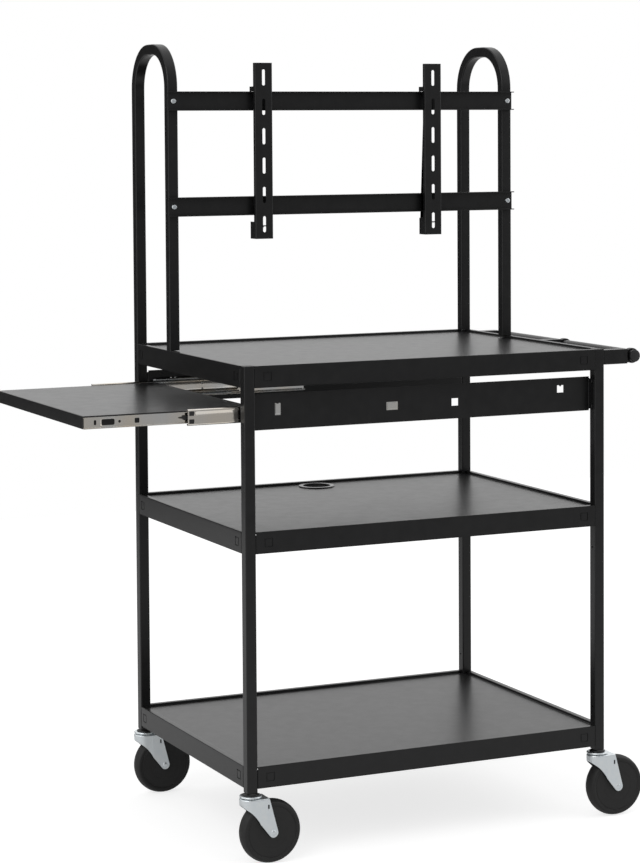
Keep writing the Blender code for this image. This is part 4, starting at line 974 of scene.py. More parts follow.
def press_rib(channel, left, web, half_width, slope, rise, start):
    """Press a rib along the web, which starts at a distance from the left end."""
    for line in (-half_width - slope, -half_width, half_width, half_width + slope):
        pick_web(channel, web)
        bpy.ops.mesh.bisect(plane_co=(0, 0, slide_middle_z + line), plane_no=(0, 0, 1))
    if start:
        for line in (start, start + slope):
            pick_web(channel, web)
            bpy.ops.mesh.bisect(plane_co=(left + line, 0, 0), plane_no=(1, 0, 0))
    first = left + start + slope if start else left
    pick(channel, "VERT", lambda vert: near(vert.co.y, slide_face + web)
         and abs(vert.co.z - slide_middle_z) < half_width + 0.0001 and vert.co.x > first - 0.0001)
    bpy.ops.transform.translate(value=(0, rise, 0))


# %% Rolling a channel
def rolled_channel(left, length, web, half_height, depth, lip, radius, sheet=slide_sheet, rib=None):
    """A channel on the front panel: web depth, half height, fold depth and lip, then bends."""
    channel = rectangle((left + length / 2, slide_face + web, slide_middle_z), length / 2,
                        half_height, upright)
    for row in (-1, 1):
        pick(channel, "EDGE", lambda edge: edge.is_boundary
             and near(centre_of(edge).z, slide_middle_z + row * half_height))
        fold((0, depth, 0), *([(0, 0, -row * lip)] if lip else []))
    round_folds(channel, radius, 6)
    turn_largest(channel, depth)
    if rib:
        press_rib(channel, left, web, **rib)
    close()
    thicken(channel, sheet)
    return channel


# %% [markdown]
# The fixed member hangs in the panel by two hooks pressed out of its web. They fill most of the
# first two windows, which is why bright metal shows there. Only their faces are seen, so each is
# a small rounded block joined to the web.

# %% Fixed members
fixed = rolled_channel(fixed_left, fixed_length, web=0, half_height=0.0210, depth=0.0098,
                       lip=0.0030, radius=0.0026)
soften(fixed, 0.0002, 1, 50)
hook_share = 0.39
for x, lift, size, tooth in windows[:2]:
    reach = (size[0] * hook_share, size[1] * hook_share)
    hook = block((x - reach[0], panel_face + 0.0001, panel_middle + lift - reach[1]),
                 (x + reach[0], slide_face + 0.0006, panel_middle + lift + reach[1]))
    soften(hook, 0.0005, 2)
    cut_away(fixed, hook, operation="UNION")
settle_both(fixed, "slide_{}_fixed_channel", rolled_zinc, "cart", "bright_zinc",
            "slide_{}_fixed_member")
print("fixed members", round(fixed_length, 4))

# %% [markdown]
# The middle member is stiffened by a rib pressed along its web, with two small punched notches at
# the rib's edges, and carries a plastic stop in each of two windows at its outer end. The rib is
# made before the sheet is thick: the web is cut along the rib's edges and the strip between them
# is moved, so that both sides of the sheet follow it.

# %% Middle members
middle_web, stop_pitch = 0.0023, 0.0078
rib = {"half_width": 0.0066, "slope": 0.0030, "rise": 0.0022, "start": 0.0150}
middle = rolled_channel(middle_left, middle_length, middle_web, half_height=0.0160, depth=0.0073,
                        lip=0.0036, radius=0.0034, rib=rib)
# Where each window of the stop, and then each notch, begins and ends, its offset and half height.
for row in (-1, 1):
    for left, right, place, reach in ((0.0026, 0.0130, stop_pitch, 0.0043),
                                      (0.2520, 0.2562, 0.0056, 0.0018)):
        cut_away(middle, block((middle_left + left, slide_face + 0.001,
                                slide_middle_z + row * place - reach),
                               (middle_left + right, slide_face + 0.007,
                                slide_middle_z + row * place + reach)))
soften(middle, 0.0002, 1, 50)
settle_both(middle, "slide_{}_middle_channel", rolled_zinc, "slide_middles", "bright_zinc",
            "slide_{}_middle_member")
print("middle members", round(middle_length, 4))

# %% [markdown]
# The stop is one plastic moulding: two soft pads that fill the windows, and a thin bridge behind
# the web that ties them together. Each pad is rounded before it is joined, because afterwards the
# rounding would also run along the seam.

# %% End stops
bridge_face = slide_face + middle_web + slide_sheet + 0.00025
stop = block((middle_left, bridge_face, slide_middle_z - stop_pitch),
             (middle_left + 0.0045, bridge_face + 0.0005, slide_middle_z + stop_pitch))
for row in (-1, 1):
    place = slide_middle_z + row * stop_pitch
    pad = block((middle_left + 0.00295, slide_face + 0.0018, place - 0.0040),
                (middle_left + 0.01265, slide_face + 0.0040, place + 0.0040))
    soften(pad, 0.0007, 3)
    cut_away(stop, pad, operation="UNION")
settle_both(stop, "slide_{}_stop_pads", black_plastic, "slide_middles", "black_plastic",
            "slide_{}_end_stop")
print("end stops", 2)

# %% [markdown]
# The inner member is a plain channel, screwed to the tray. It is punched with a keyhole, a framed
# slot, a square hole and screw holes, and its outer end has a short bent tab. The punches are
# drawn as rounded blocks and rods. The slot's frame is a larger block joined to the web first, so
# that one punch goes through both.

# %% Punches for the inner member
inner_web = 0.0127
web_face = slide_face + inner_web
punch_front, punch_back = slide_face + 0.009, slide_face + 0.016


def rounded_block(low, high, axis, radius, steps):
    """A box whose edges along one axis are rounded."""
    piece = block(low, high)
    shape(piece)
    round_along(piece, axis, radius, steps)
    close()
    return piece


def rounded_punch(inset, width, height, radius):
    """A block with rounded corners that punches through the web at a distance from its end."""
    x = inner_left + inset
    return rounded_block((x - width / 2, punch_front, slide_middle_z - height / 2),
                         (x + width / 2, punch_back, slide_middle_z + height / 2), 1, radius, 4)


# %% Inner members
inner = rolled_channel(inner_left, inner_length, inner_web, half_height=0.01125, depth=-0.0077,
                       lip=0, radius=0.0018)
slot_inset, slot_size, rim_width, rim_height = 0.0498, (0.0264, 0.0117), 0.0018, 0.0010
slot_x = inner_left + slot_inset
frame_rim = rounded_punch(slot_inset, slot_size[0] + 2 * rim_width, slot_size[1] + 2 * rim_width,
                          0.0040)
frame_rim.location.y = web_face - slide_sheet - rim_height - punch_front
only(frame_rim)
place_in_mesh()
trim = block((slot_x - 0.03, web_face - 0.0006, slide_middle_z - 0.02),
             (slot_x + 0.03, web_face + 0.02, slide_middle_z + 0.02))
cut_away(frame_rim, trim)
shape(frame_rim)
pick(frame_rim, "FACE", lambda face: face.normal.y < -0.9)
bpy.ops.transform.resize(value=(0.955, 1, 0.90), center_override=(slot_x, 0, slide_middle_z))
close()
end_tab = block((inner_left, web_face - 0.0044, slide_middle_z - 0.0088),
                (inner_left + 0.0012, web_face - 0.0010, slide_middle_z + 0.0088))
cut_away(inner, frame_rim, end_tab, operation="UNION")
cut_away(inner, rounded_punch(slot_inset, *slot_size, 0.0029),
         rounded_punch(0.0238, 0.0050, 0.0100, 0.00245),
         rounded_punch(0.1092, 0.0097, 0.0097, 0.0019))
screw_hole_radius = 0.0026
for inset in (0.0735, 0.320):
    x = inner_left + inset
    cut_away(inner, rod((x, punch_front, slide_middle_z), (x, punch_back, slide_middle_z),
                        screw_hole_radius, 20))
soften(inner, 0.0002, 1, 50)
settle_both(inner, "slide_{}_inner_channel", rolled_zinc, "pullout", "bright_zinc",
            "slide_{}_inner_member")
print("inner members", round(inner_length, 4))

# %% [markdown]
# A black lever lies in each inner channel. Pressing it lets the tray come off the slides. It is a
# block, cut across near one end, and the cut edges are narrowed and widened into a pointed head.

# %% Release levers
lever_low, lever_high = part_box("slide_front_lever")
lever_tip = lever_low.x - cart_shift + 0.0115
lever = block((lever_tip, lever_low.y, lever_low.z),
              (lever_high.x - cart_shift, lever_high.y, lever_high.z))
shape(lever)
lever_taper = ((0, 0.3), (0.0060, 0.42), (0.0095, 1.25))
for distance, share in lever_taper[1:]:
    everything()
    bpy.ops.mesh.bisect(plane_co=(lever_tip + distance, 0, 0), plane_no=(1, 0, 0))
for distance, share in lever_taper:
    pick(lever, "VERT", lambda vert: near(vert.co.x, lever_tip + distance))
    bpy.ops.transform.resize(value=(1, 1, share), center_override=(0, 0, slide_middle_z))
close()
soften(lever, 0.0006, 3, 20)
settle_both(lever, "slide_{}_lever_moulded", black_plastic, "pullout", "black_plastic",
            "slide_{}_lever")
print("levers", 2)

# %% [markdown]
# Between the members run two ball cages: thin strips with a row of steel balls along each edge.
# The strips are rolled as the channels are. The balls are about three millimetres wide, so
# spheres with few faces are enough, and each row is as long as its cage.

# %% Ball cages
ball_pitch = 0.0145


def joined(first, *others):
    """Several pieces made one."""
    only(first)
    for other in others:
        other.select_set(True)
    bpy.ops.object.join()
    return bpy.context.object


for kind, web, half_height, race, cover, radius, body, rib in (
        ("outer", 0.00175, 0.0179, 0.0070, 0.0026, 0.0016, "outer_cages", None),
        ("inner", 0.00405, 0.0130, 0.0066, 0.0012, 0.0014, "inner_cages",
         {"half_width": 0.0069, "slope": 0.0030, "rise": 0.0022, "start": 0})):
    low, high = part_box(f"slide_front_{kind}_cage")
    left, length = low.x - cart_shift, high.x - low.x
    cage = rolled_channel(left, length, web - cage_sheet / 2, half_height,
                          depth=race + cover - web, lip=0, radius=0.0006, sheet=cage_sheet, rib=rib)
    count = int(length / ball_pitch)
    bpy.ops.object.select_all(action="DESELECT")
    balls = []
    for row in (-1, 1):
        for step in range(count):
            x = left + length / 2 + (step - (count - 1) / 2) * ball_pitch
            bpy.ops.mesh.primitive_uv_sphere_add(segments=14, ring_count=8, radius=radius,
                                                 location=(x, slide_face + race,
                                                           slide_middle_z + row * half_height))
            balls.append(bpy.context.object)
    settle_both(joined(cage, *balls), "slide_{}_" + kind + "_balls", plated_zinc, body,
                "bright_zinc", "slide_{}_" + kind + "_cage")
    print(kind, "cages with", 2 * count, "balls")

# %% [markdown]
# ## The pull-out tray
#
# The tray is a shallow pan turned over: a flat top with its four sides folded down and a narrow
# hem folded in below. A block gets its upright corners and its top edges rounded, loses its
# underside, and the open edge is drawn inwards as the hem. Unlike the shelves its corners are
# closed, which is why it starts from a block and not from a flat sheet.

# %% Pull-out tray
tray_sheet, tray_hem = 0.0012, 0.012
tray_corner, tray_edge = 0.0028, 0.0018
tray_low, tray_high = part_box("pull_out_tray")
tray = block((tray_low.x - cart_shift, tray_low.y, tray_low.z),
             (tray_high.x - cart_shift, tray_high.y, tray_high.z))
tray_middle = ((tray_low.x + tray_high.x) / 2 - cart_shift, 0, tray_low.z)
tray_half = ((tray_high.x - tray_low.x) / 2, (tray_high.y - tray_low.y) / 2)
shape(tray)
round_along(tray, 2, tray_corner, 5)
pick(tray, "EDGE", lambda edge: near(edge.verts[0].co.z, tray_high.z)
     and near(edge.verts[1].co.z, tray_high.z))
bpy.ops.mesh.bevel(offset=tray_edge, segments=3, affect="EDGES")
pick(tray, "FACE", lambda face: face.normal.z < -0.9)
bpy.ops.mesh.delete(type="FACE")
pick(tray, "EDGE", lambda edge: edge.is_boundary)
fold((0, 0, 0))
bpy.ops.transform.resize(value=(1 - tray_hem / tray_half[0], 1 - tray_hem / tray_half[1], 1),
                         center_override=tray_middle)
close()
thicken(tray, tray_sheet)
soften(tray, 0.0002, 1, 60)
settle(tray, "pull_out_tray_pan", powder_coat, "pullout", "black_powder_coat", "pull_out_tray")
print("tray", round(2 * tray_half[0], 4), "by", round(2 * tray_half[1], 4))

# %% [markdown]
# ## The push handle
#
# Three short square arms carry a round tube off the right end. Each arm is cast with an eye that
# the tube passes through, and the tube is closed by two domed plastic caps. A block, a neck and a
# disc are joined for the arm, and the bore is cut only then, because it passes through all three.

# %% Handle arms
arm_half_depth, arm_half_height, arm_stop = 0.0111, 0.01525, 0.017
neck_start, neck_half_depth, neck_half_height = 0.020, 0.006, 0.0132
eye_offset, eye_half_depth, eye_radius = 0.004, 0.0063, 0.0158
tube_low, tube_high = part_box("handle_tube")
handle_radius = (tube_high.z - tube_low.z) / 2
handle_x = (tube_low.x + tube_high.x) / 2 - cart_shift
handle_z = (tube_low.z + tube_high.z) / 2
for where in ("front", "middle", "rear"):
    low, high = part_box(f"handle_arm_{where}")
    middle_y = (low.y + high.y) / 2
    start = low.x - cart_shift
    arm = block((start, middle_y - arm_half_depth, handle_z - arm_half_height),
                (handle_x - arm_stop, middle_y + arm_half_depth, handle_z + arm_half_height))
    soften(arm, 0.0012, 4)
    eye_y = middle_y + eye_offset
    neck = block((handle_x - neck_start, eye_y - neck_half_depth, handle_z - neck_half_height),
                 (handle_x, eye_y + neck_half_depth, handle_z + neck_half_height))
    eye = rod((handle_x, eye_y - eye_half_depth, handle_z),
              (handle_x, eye_y + eye_half_depth, handle_z), eye_radius, 48)
    soften(eye, 0.0012, 4)
    cut_away(arm, neck, eye, operation="UNION")
    cut_away(arm, rod((handle_x, middle_y - 0.03, handle_z), (handle_x, middle_y + 0.03, handle_z),
                      handle_radius + seat_gap, 48))
    settle(arm, f"handle_arm_{where}_cast", powder_coat, "cart", "black_powder_coat",
           f"handle_arm_{where}", smooth=30)
print("handle arms", 3)

# %% Handle tube and caps
tube = rod((handle_x, tube_low.y, handle_z), (handle_x, tube_high.y, handle_z), handle_radius, 64)
soften(tube, 0.0004, 2)
settle(tube, "handle_tube_round", powder_coat, "cart", "black_powder_coat", "handle_tube")
plug_radius = handle_radius - 0.0012
dome = [(0, 0.0022), (0.004, 0.00215), (0.0075, 0.0018)]
dome += round_corner((plug_radius - 0.0013, 0.0003), 0.0013, 60, 0, 4)
dome += [(plug_radius, 0.0003), (handle_radius - 0.002, 0.0003), (handle_radius - 0.002, -0.010),
         (0, -0.010)]
for where, place, out in (("front", tube_low.y, -1), ("rear", tube_high.y, 1)):
    cap = turned(dome, (handle_x, place, handle_z), (0, out, 0), 64)
    settle(cap, f"handle_cap_{where}_domed", black_plastic, "cart", "black_plastic",
           f"handle_cap_{where}")
print("handle tube", round(tube_high.y - tube_low.y, 4))

# %% [markdown]
# ## The cross rails and brackets
#
# Two channels cross the front posts of the hoops. Their long edges are folded forward, so that
# the brackets can hook over them anywhere. Each is a plane with its top and bottom edges folded,
# which is all that a channel needs.

# %% Cross rails
rail_sheet, rail_fold_radius = 0.002, 0.0028
for name in ("upper", "lower"):
    low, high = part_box(f"screen_rail_{name}")
    rail = rectangle((0, high.y, (low.z + high.z) / 2), cart_half_width, (high.z - low.z) / 2,
                     upright)
    for edge_z in (low.z, high.z):
        pick(rail, "EDGE", lambda edge: near(centre_of(edge).z, edge_z))
        fold((0, low.y - high.y, 0))
    round_folds(rail, rail_fold_radius, 4)
    turn_outwards(rail, (0, 1, 0))
    thicken(rail, rail_sheet)
    soften(rail, 0.0003, 2, 50)
    settle(rail, f"screen_rail_{name}_folded", powder_coat, "cart", "black_powder_coat",
           f"screen_rail_{name}")
print("rails", round(2 * cart_half_width, 4), "long")

# %% [markdown]
# Each bracket is a channel that opens backwards, folded from an upright plane. Its side walls are
# cut back to a shallow depth, but for a hook that reaches over the upper rail and a foot below the
# lower one. A tab welded in the foot carries the lock screw, and a row of slots takes bolts of
# many spacings. The real sheet is cut flat and then folded. Here it is cut after the fold,
# because the cutters can then be plain blocks.

# %% Places on a bracket
rail_low, rail_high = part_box("screen_rail_upper")
lower_low, lower_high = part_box("screen_rail_lower")
bracket_sheet, bracket_clearance = 0.002, 0.0005
bracket_fold_radius = 0.0026
hook_height, hook_drop, foot_drop, tab_drop = 0.010, 0.012, 0.014, 0.008
rail_front = rail_low.y - bracket_clearance
rail_back = rail_high.y + bracket_clearance
hook_bottom = rail_high.z + bracket_clearance
foot_top = lower_low.z - foot_drop
tab_top = foot_top - tab_drop
slot_count, slot_pitch, slot_width, slot_height = 6, 0.0617, 0.0072, 0.034


def bracket_slot(x, front, z):
    """A punch with round ends for one slot."""
    return rounded_block((x - slot_width / 2, front - 0.002, z - slot_height / 2),
                         (x + slot_width / 2, front + 0.004, z + slot_height / 2), 1,
                         slot_width / 2 - 0.0001, 6)


# %% Folding a bracket
def folded_bracket(x, low, high):
    """One bracket about an upright line, between the corners of its solid."""
    half, middle = (high.x - low.x) / 2, (low.z + high.z) / 2
    bracket = rectangle((x, low.y, middle), half, (high.z - low.z) / 2, upright)
    for side in (-1, 1):
        pick(bracket, "EDGE", lambda edge: near(centre_of(edge).x, x + side * half))
        fold((0, high.y - low.y, 0))
    round_folds(bracket, bracket_fold_radius, 4)
    turn_outwards(bracket, (0, -1, 0))
    thicken(bracket, bracket_sheet)
    wide, far = half + 0.002, high.y + 0.002
    for bottom, top, back in ((hook_bottom + hook_height, high.z + 0.002, far),
                              (foot_top, hook_bottom - hook_drop, far),
                              (hook_bottom - hook_drop - 0.001, hook_bottom, rail_back)):
        cut_away(bracket, block((x - wide, rail_front, bottom), (x + wide, back, top)))
    for step in range(slot_count):
        cut_away(bracket, bracket_slot(x, low.y, middle + (step - (slot_count - 1) / 2) * slot_pitch))
    tab = block((x - half + bracket_sheet / 2, low.y + bracket_sheet / 2, tab_top - bracket_sheet),
                (x + half - bracket_sheet / 2, high.y - 0.0004, tab_top))
    cut_away(bracket, tab, operation="UNION")
    screw_y = (rail_front + rail_back) / 2
    cut_away(bracket, rod((x, screw_y, tab_top - 0.005), (x, screw_y, tab_top + 0.005), 0.0033, 24))
    soften(bracket, 0.0003, 2, 50)
    return bracket


# %% Brackets
for side_name in ("left", "right"):
    low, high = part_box(f"screen_bracket_{side_name}")
    bracket = folded_bracket((low.x + high.x) / 2 - cart_shift, low, high)
    settle(bracket, f"screen_bracket_{side_name}_folded", powder_coat, "cart",
           "black_powder_coat", f"screen_bracket_{side_name}")
print("brackets", len(bracket.data.polygons), "faces each")

# %% [markdown]
# ## Screws and bolts
#
# One pan head screw is made with care: a turned head with a rounded rim, and a cross cut into it.
# Every other screw is a copy, turned to its own direction, and the copies of one set are joined
# to one piece. Most sit inside the corners, where the flanges of the shelves and panels meet the
# legs.

# %% A pan head screw
head_gap = 0.0001


def pan_head(radius, height, shank_radius, shank):
    """A screw that stands on the seat at the origin, its head up and its shank down."""
    profile = [(0, -shank), (shank_radius, -shank), (shank_radius, 0), (radius, 0)]
    profile += round_corner((radius - height * 0.55, height * 0.45), height * 0.55, 0, 75, 4)
    profile.append((0, height))
    screw = turned(profile, steps=24)
    long, short = radius * 0.55, radius * 0.11
    cross = block((-long, -short, height * 0.45), (long, short, height * 1.5))
    cut_away(cross, block((-short, -long, height * 0.45), (short, long, height * 1.5)),
             operation="UNION")
    cut_away(screw, cross)
    return screw


# %% Setting screws
def set_screws(pattern, name, seats, finish, slot):
    """Copy a screw to each seat, its head facing the given way, and join the copies."""
    copies = []
    for seat, out in seats:
        copy = copied(pattern)
        copy.rotation_euler = Vector(out).to_track_quat("Z", "X").to_euler()
        copy.location = seat
        copies.append(copy)
    screws = joined(*copies)
    place_in_mesh()
    settle(screws, name, finish, "cart", slot)


# %% Screws of the shelves and panels
screw_drop, panel_screw_reach = 0.033, 0.026
screw = pan_head(radius=0.0042, height=0.0024, shank_radius=0.0022, shank=0.0045)
for name, rim in rims.items():
    height = rim - screw_drop
    seats = []
    for side in (-1, 1):
        for end in (-1, 1):
            seats.append(((side * (flange_x - shelf_sheet - head_gap), end * leg_y, height),
                          (-side, 0, 0)))
            seats.append(((side * leg_x, end * (flange_y - shelf_sheet - head_gap), height),
                          (0, -end, 0)))
    set_screws(screw, f"shelf_{name}_screws", seats, plated_zinc, "bright_zinc")
seats = [((side * (flange_x - panel_sheet - head_gap), end * leg_y, panel_middle + lift),
          (-side, 0, 0)) for side in (-1, 1) for end in (-1, 1)
         for lift in (-panel_screw_reach, panel_screw_reach)]
set_screws(screw, "panel_screws", seats, powder_coat, "black_powder_coat")
print("screws", 3 * 8 + 8)

# %% [markdown]
# The rails are screwed to the hoops from the front. Each bracket's lock screw goes up through the
# tab in its foot, and presses the bracket against the lower rail.

# %% Rail screws
seats = [((side * leg_x, rail_high.y - rail_sheet - head_gap, (low + high) / 2), (0, -1, 0))
         for side in (-1, 1)
         for low, high in ((rail_low.z, rail_high.z), (lower_low.z, lower_high.z))]
wide_screw = pan_head(radius=0.0055, height=0.0032, shank_radius=0.0022, shank=0.004)
set_screws(wide_screw, "rail_screws", seats, plated_zinc, "bright_zinc")
print("rail screws", len(seats))

# %% Lock screws
lock_head = 0.0035
lock_screw = pan_head(radius=0.005, height=lock_head, shank_radius=0.0029, shank=0.0235)
for side_name in ("left", "right"):
    low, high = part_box(f"bracket_lock_screw_{side_name}")
    turned_down = copied(lock_screw)
    turned_down.rotation_euler.x = math.pi
    turned_down.location = ((low.x + high.x) / 2 - cart_shift, (low.y + high.y) / 2,
                            low.z + lock_head)
    settle(turned_down, f"bracket_lock_screw_{side_name}_pan", plated_zinc, "cart", "bright_zinc",
           f"bracket_lock_screw_{side_name}")
print("lock screws", 2)

# %% [markdown]
# The handle's arms are held by hexagon bolts from inside the end apron, and a smaller one under
# the shelf lip holds each hoop's front foot. A cylinder with six sides gives the head.

# %% A hexagon bolt
def hexagon_bolt(across, height, shank_radius, shank):
    """A hexagon head with broken corners, standing on the seat at the origin."""
    head = rod((0, 0, 0), (0, 0, height), across / math.sqrt(3), 6)
    soften(head, 0.0004, 2, 30)
    cut_away(head, rod((0, 0, -shank), (0, 0, 0.0005), shank_radius, 20), operation="UNION")
    return head


# %% Bolts of the handle and the hoops
arm_places = [(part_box(f"handle_arm_{where}")[0].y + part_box(f"handle_arm_{where}")[1].y) / 2
              for where in ("middle", "rear")]
seats = [((cart_half_width - shelf_sheet - head_gap, place, handle_z), (-1, 0, 0))
         for place in arm_places]
seats.append(((flange_x - shelf_sheet - head_gap, -leg_y, handle_z), (-1, 0, 0)))
wide_bolt = hexagon_bolt(across=0.010, height=0.004, shank_radius=0.0028, shank=0.004)
set_screws(wide_bolt, "handle_bolts", seats, plated_zinc, "bright_zinc")
seats = [((side * (cart_half_width - lip_width / 2), hoop_front_y,
           rims["top"] - shelf_sheet - head_gap), (0, 0, -1)) for side in (-1, 1)]
small_bolt = hexagon_bolt(across=0.007, height=0.003, shank_radius=0.0022, shank=0.0038)
set_screws(small_bolt, "hoop_foot_bolts", seats, plated_zinc, "bright_zinc")
print("bolts", 3 + 2)

# %% [markdown]
# ## The casters
#
# A caster is a plastic socket in the leg, a plated cup that turns on balls, a pressed fork and a
# rubber wheel that trails behind the swivel. The sockets, cups and wheels are turned; the fork is
# folded from a crown and trimmed to its side view.

# %% Profiles of the socket and the cup
caster_names = ("front_left", "front_right", "rear_left", "rear_right")
caster_places = {name: ((1 if "right" in name else -1) * leg_x, (1 if "rear" in name else -1) * leg_y)
                 for name in caster_names}
fork_top, cup_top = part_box("fork_front_left")[1].z, leg_bottom - 0.0053
skirt_profile = [(0, leg_bottom - 0.0003), (0.0112, leg_bottom - 0.0003),
                 (0.0125, leg_bottom - 0.0010), (0.0146, leg_bottom - 0.0031)]
skirt_profile += round_corner((0.0157, cup_top + 0.0012), 0.0009, 60, -90, 4)
skirt_profile += [(0, cup_top + 0.0003)]
cup_profile = [(0, cup_top), (0.0186, cup_top)]
cup_profile += round_corner((0.0203, cup_top - 0.0020), 0.0020, 75, 0, 5)
cup_profile += round_corner((0.0212, cup_top - 0.0028), 0.0011, 45, -90, 4)
cup_profile += [(0.0180, cup_top - 0.0038), (0.0176, cup_top - 0.0028), (0.0062, cup_top - 0.0028),
                (0.0058, cup_top - 0.0095), (0.0088, cup_top - 0.0095), (0.0088, cup_top - 0.0105),
                (0.0058, cup_top - 0.0117), (0, cup_top - 0.0117)]
print("cup top at", round(cup_top, 4))

# %% The ring of balls
race_balls, race_radius, ball_radius, ball_lift = 22, 0.0190, 0.0013, 0.0016


def ball_race(x, y):
    """The ring of steel balls that shows between a cup and its fork."""
    balls = []
    for step in range(race_balls):
        turn = 2 * math.pi * step / race_balls
        bpy.ops.mesh.primitive_uv_sphere_add(
            segments=12, ring_count=8, radius=ball_radius,
            location=(x + race_radius * math.cos(turn), y + race_radius * math.sin(turn),
                      fork_top + ball_lift))
        balls.append(bpy.context.object)
    return joined(*balls)


# %% Sockets and cups
for name, (x, y) in caster_places.items():
    skirt = turned(skirt_profile, (x, y, 0), steps=64)
    settle(skirt, f"caster_socket_{name}_skirt", black_plastic, "cart", "black_plastic",
           f"caster_socket_{name}")
    cup = turned(cup_profile, (x, y, 0), steps=64)
    settle(joined(cup, ball_race(x, y)), f"caster_cup_{name}_pressed", plated_zinc, "cart",
           "bright_zinc", f"caster_cup_{name}")
print("sockets and cups", len(caster_places))

# %% [markdown]
# The fork starts as half a ring, the rounded nose of the crown. Its two ends are pulled back, the
# outline is filled, and its rim is drawn down as a skirt. The edge between the two is rounded
# before the sheet gets its thickness. A prism with the fork's side view then trims the skirt.
# Trimming last leaves the cut edges square to the sheet, as they are on the real fork.

# %% The fork's side view
trail = 0.040
wheel_radius = 0.0635
fork_half, fork_sheet, fork_nose = 0.021, 0.0025, 0.023
fork_tip_radius, fork_fold_radius = 0.0125, 0.0028
prism_half = 0.03


def side_view_prism():
    """A block with the fork's side view: broad under the crown, narrow at the axle."""
    tip = [(trail + dx, wheel_radius + dz) for dx, dz in round_corner((0, 0), 0.0097, 215, 375, 10)]
    edge = [(-0.0146, fork_top - 0.0195), (-0.0090, fork_top - 0.0236), (-0.0037, fork_top - 0.0282),
            (0.0012, fork_top - 0.0332), (0.0055, fork_top - 0.0385), (0.0095, fork_top - 0.0446),
            (0.0132, fork_top - 0.0512)]
    points = [(-0.026, fork_top + 0.002), (-0.026, fork_top - 0.0090), (-0.0215, fork_top - 0.0125),
              (-0.0190, fork_top - 0.0160)] + edge + tip + [(0.0312, fork_top + 0.002)]
    prism = drawn_line([(x, -prism_half, z) for x, z in points])
    everything()
    bpy.ops.mesh.edge_face_add()
    bpy.ops.mesh.extrude_region_move(TRANSFORM_OT_translate={"value": (0, 2 * prism_half, 0)})
    everything()
    bpy.ops.mesh.normals_make_consistent(inside=False)
    close()
    return prism


# %% Folding the fork
crease = 0.009


def folded_fork():
    """The sheet of one fork about its swivel axis, trailing towards the right."""
    bpy.ops.object.select_all(action="DESELECT")
    bpy.ops.mesh.primitive_circle_add(vertices=64, radius=fork_half,
                                      location=(-fork_nose + fork_half, 0, fork_top))
    fork = bpy.context.object
    place_in_mesh()
    shape(fork)
    pick(fork, "VERT", lambda vert: vert.co.x > -fork_nose + fork_half + 0.0001)
    bpy.ops.mesh.delete(type="VERT")
    pick(fork, "VERT", lambda vert: near(vert.co.x, -fork_nose + fork_half))
    back = trail + fork_tip_radius
    for reach in (crease + fork_nose - fork_half, back - crease):
        bpy.ops.mesh.extrude_vertices_move(TRANSFORM_OT_translate={"value": (reach, 0, 0)})
    everything()
    bpy.ops.mesh.edge_face_add()
    pick(fork, "EDGE", lambda edge: not near(centre_of(edge).x, back))
    fold((0, 0, -(fork_top - wheel_radius + fork_tip_radius)))
    pick(fork, "VERT", lambda vert: vert.co.z < wheel_radius and vert.co.x < crease - 0.0001)
    bpy.ops.transform.resize(value=(0.86, 0.80, 1), center_override=(0, 0, fork_top))
    everything()
    bpy.ops.mesh.normals_make_consistent(inside=False)
    pick(fork, "EDGE", lambda edge: len(edge.link_faces) == 2
         and near(edge.verts[0].co.z, fork_top) and near(edge.verts[1].co.z, fork_top))
    bpy.ops.mesh.bevel(offset=fork_fold_radius, segments=5, affect="EDGES")
    turn_outwards(fork, (0, 0, 1))
    thicken(fork, fork_sheet)
    return fork


# %% Trimming and piercing the fork
def pressed_fork():
    """One fork, trimmed to its side view and pierced for the swivel and the axle's heads."""
    fork = folded_fork()
    cut_away(fork, side_view_prism(), operation="INTERSECT")
    cut_away(fork, rod((0, 0, fork_top - 0.005), (0, 0, fork_top + 0.005), 0.0063, 40))
    soften(fork, 0.0005, 2, 45)
    slot_x, slot_half = 0.0298, 0.0017
    cut_away(fork, rounded_block((slot_x - slot_half, -prism_half, fork_top - 0.0207),
                                 (slot_x + slot_half, prism_half, fork_top - 0.0123),
                                 1, 0.0008, 3))
    groove_radius, groove_depth = 0.0012, 0.0004
    for side in (-1, 1):
        groove = side * (fork_half + groove_radius - groove_depth)
        cut_away(fork, rod((crease, groove, fork_top - 0.006),
                           (crease + 0.004, groove, fork_top - 0.060), groove_radius, 16))
        cut_away(fork, rod((trail, side * (fork_half - 0.0004), wheel_radius),
                           (trail, side * (fork_half + 0.0020), wheel_radius), 0.0064, 40))
    return fork


# %% [markdown]
# The axle is a rivet. Its low domed heads sit outside the fork, and a short sleeve fills the gap
# on each side of the hub. It is joined to the fork, as it is on the real caster.

# %% Riveted axle
def riveted_axle():
    """The axle along Y, with a domed head on each side."""
    half = fork_half
    profile = [(0, half + 0.0013), (0.0018, half + 0.00125), (0.0032, half + 0.0010),
               (0.0044, half + 0.0005), (0.0051, half - 0.0002), (0.0052, half - 0.0010),
               (0.0040, half - 0.0010)]
    profile += [(radius, -height) for radius, height in reversed(profile)]
    return turned(profile, (trail, 0, wheel_radius), (0, 1, 0), 40)


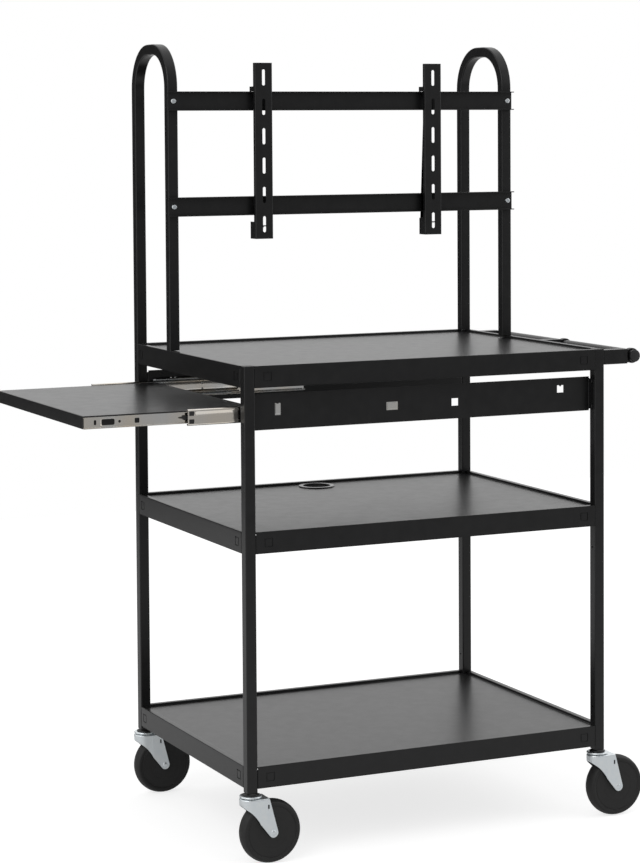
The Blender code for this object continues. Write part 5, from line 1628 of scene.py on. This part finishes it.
fork_pattern = pressed_fork()
cut_away(fork_pattern, riveted_axle(), operation="UNION")
print("fork", len(fork_pattern.data.polygons), "faces")

# %% [markdown]
# The wheel is one moulding of hard rubber: a crowned tread with round shoulders, a flat side with
# two faint rings left by the mould, and a raised hub that keeps it clear of the fork. Half of the
# profile is written down and the other half is its mirror image, so both sides are alike.

# %% Wheel
half = 0.016
wheel_profile = [(0.0043, 0.018), (0.0092, 0.018)]
wheel_profile += round_corner((0.0092, 0.0174), 0.0006, 90, 0, 3)
wheel_profile += [(0.0112, half - 0.0016), (0.0165, half - 0.0018), (0.0300, half - 0.0016)]
wheel_profile += [(0.0306, half - 0.0020), (0.0318, half - 0.0020), (0.0324, half - 0.0016)]
wheel_profile += [(0.0495, half - 0.0013), (0.0501, half - 0.0018), (0.0513, half - 0.0018),
                  (0.0520, half - 0.0009)]
wheel_profile += round_corner((0.0560, half - 0.0045), 0.0045, 95, 35, 5)
wheel_profile += [(0.0612, half - 0.0050), (0.0622, half - 0.0078), (0.0630, 0.0052),
                  (0.0635, 0.0026)]
wheel_profile += [(radius, -height) for radius, height in reversed(wheel_profile)]
wheel_profile.append(wheel_profile[0])
wheel_pattern = turned(wheel_profile, (trail, 0, wheel_radius), (0, 1, 0), 128)
print("wheel", len(wheel_pattern.data.polygons), "faces")

# %% Four casters
for name, (x, y) in caster_places.items():
    fork = copied(fork_pattern, shift=(x, y, 0))
    wheel = copied(wheel_pattern, shift=(x, y, 0))
    settle(fork, f"fork_{name}_pressed", plated_zinc, f"fork_{name}_body", "bright_zinc",
           f"fork_{name}", smooth=35)
    settle(wheel, f"wheel_{name}_tread", wheel_rubber, f"wheel_{name}_body", "wheel_rubber",
           f"wheel_{name}", smooth=35)
for pattern in (screw, wide_screw, lock_screw, wide_bolt, small_bolt, fork_pattern,
                wheel_pattern):
    bpy.data.objects.remove(pattern)
print("casters", len(caster_places))

# %% [markdown]
# ## Closing
#
# The number of new pieces is printed.

# %% Count the pieces
print("pieces made", len(new_pieces))
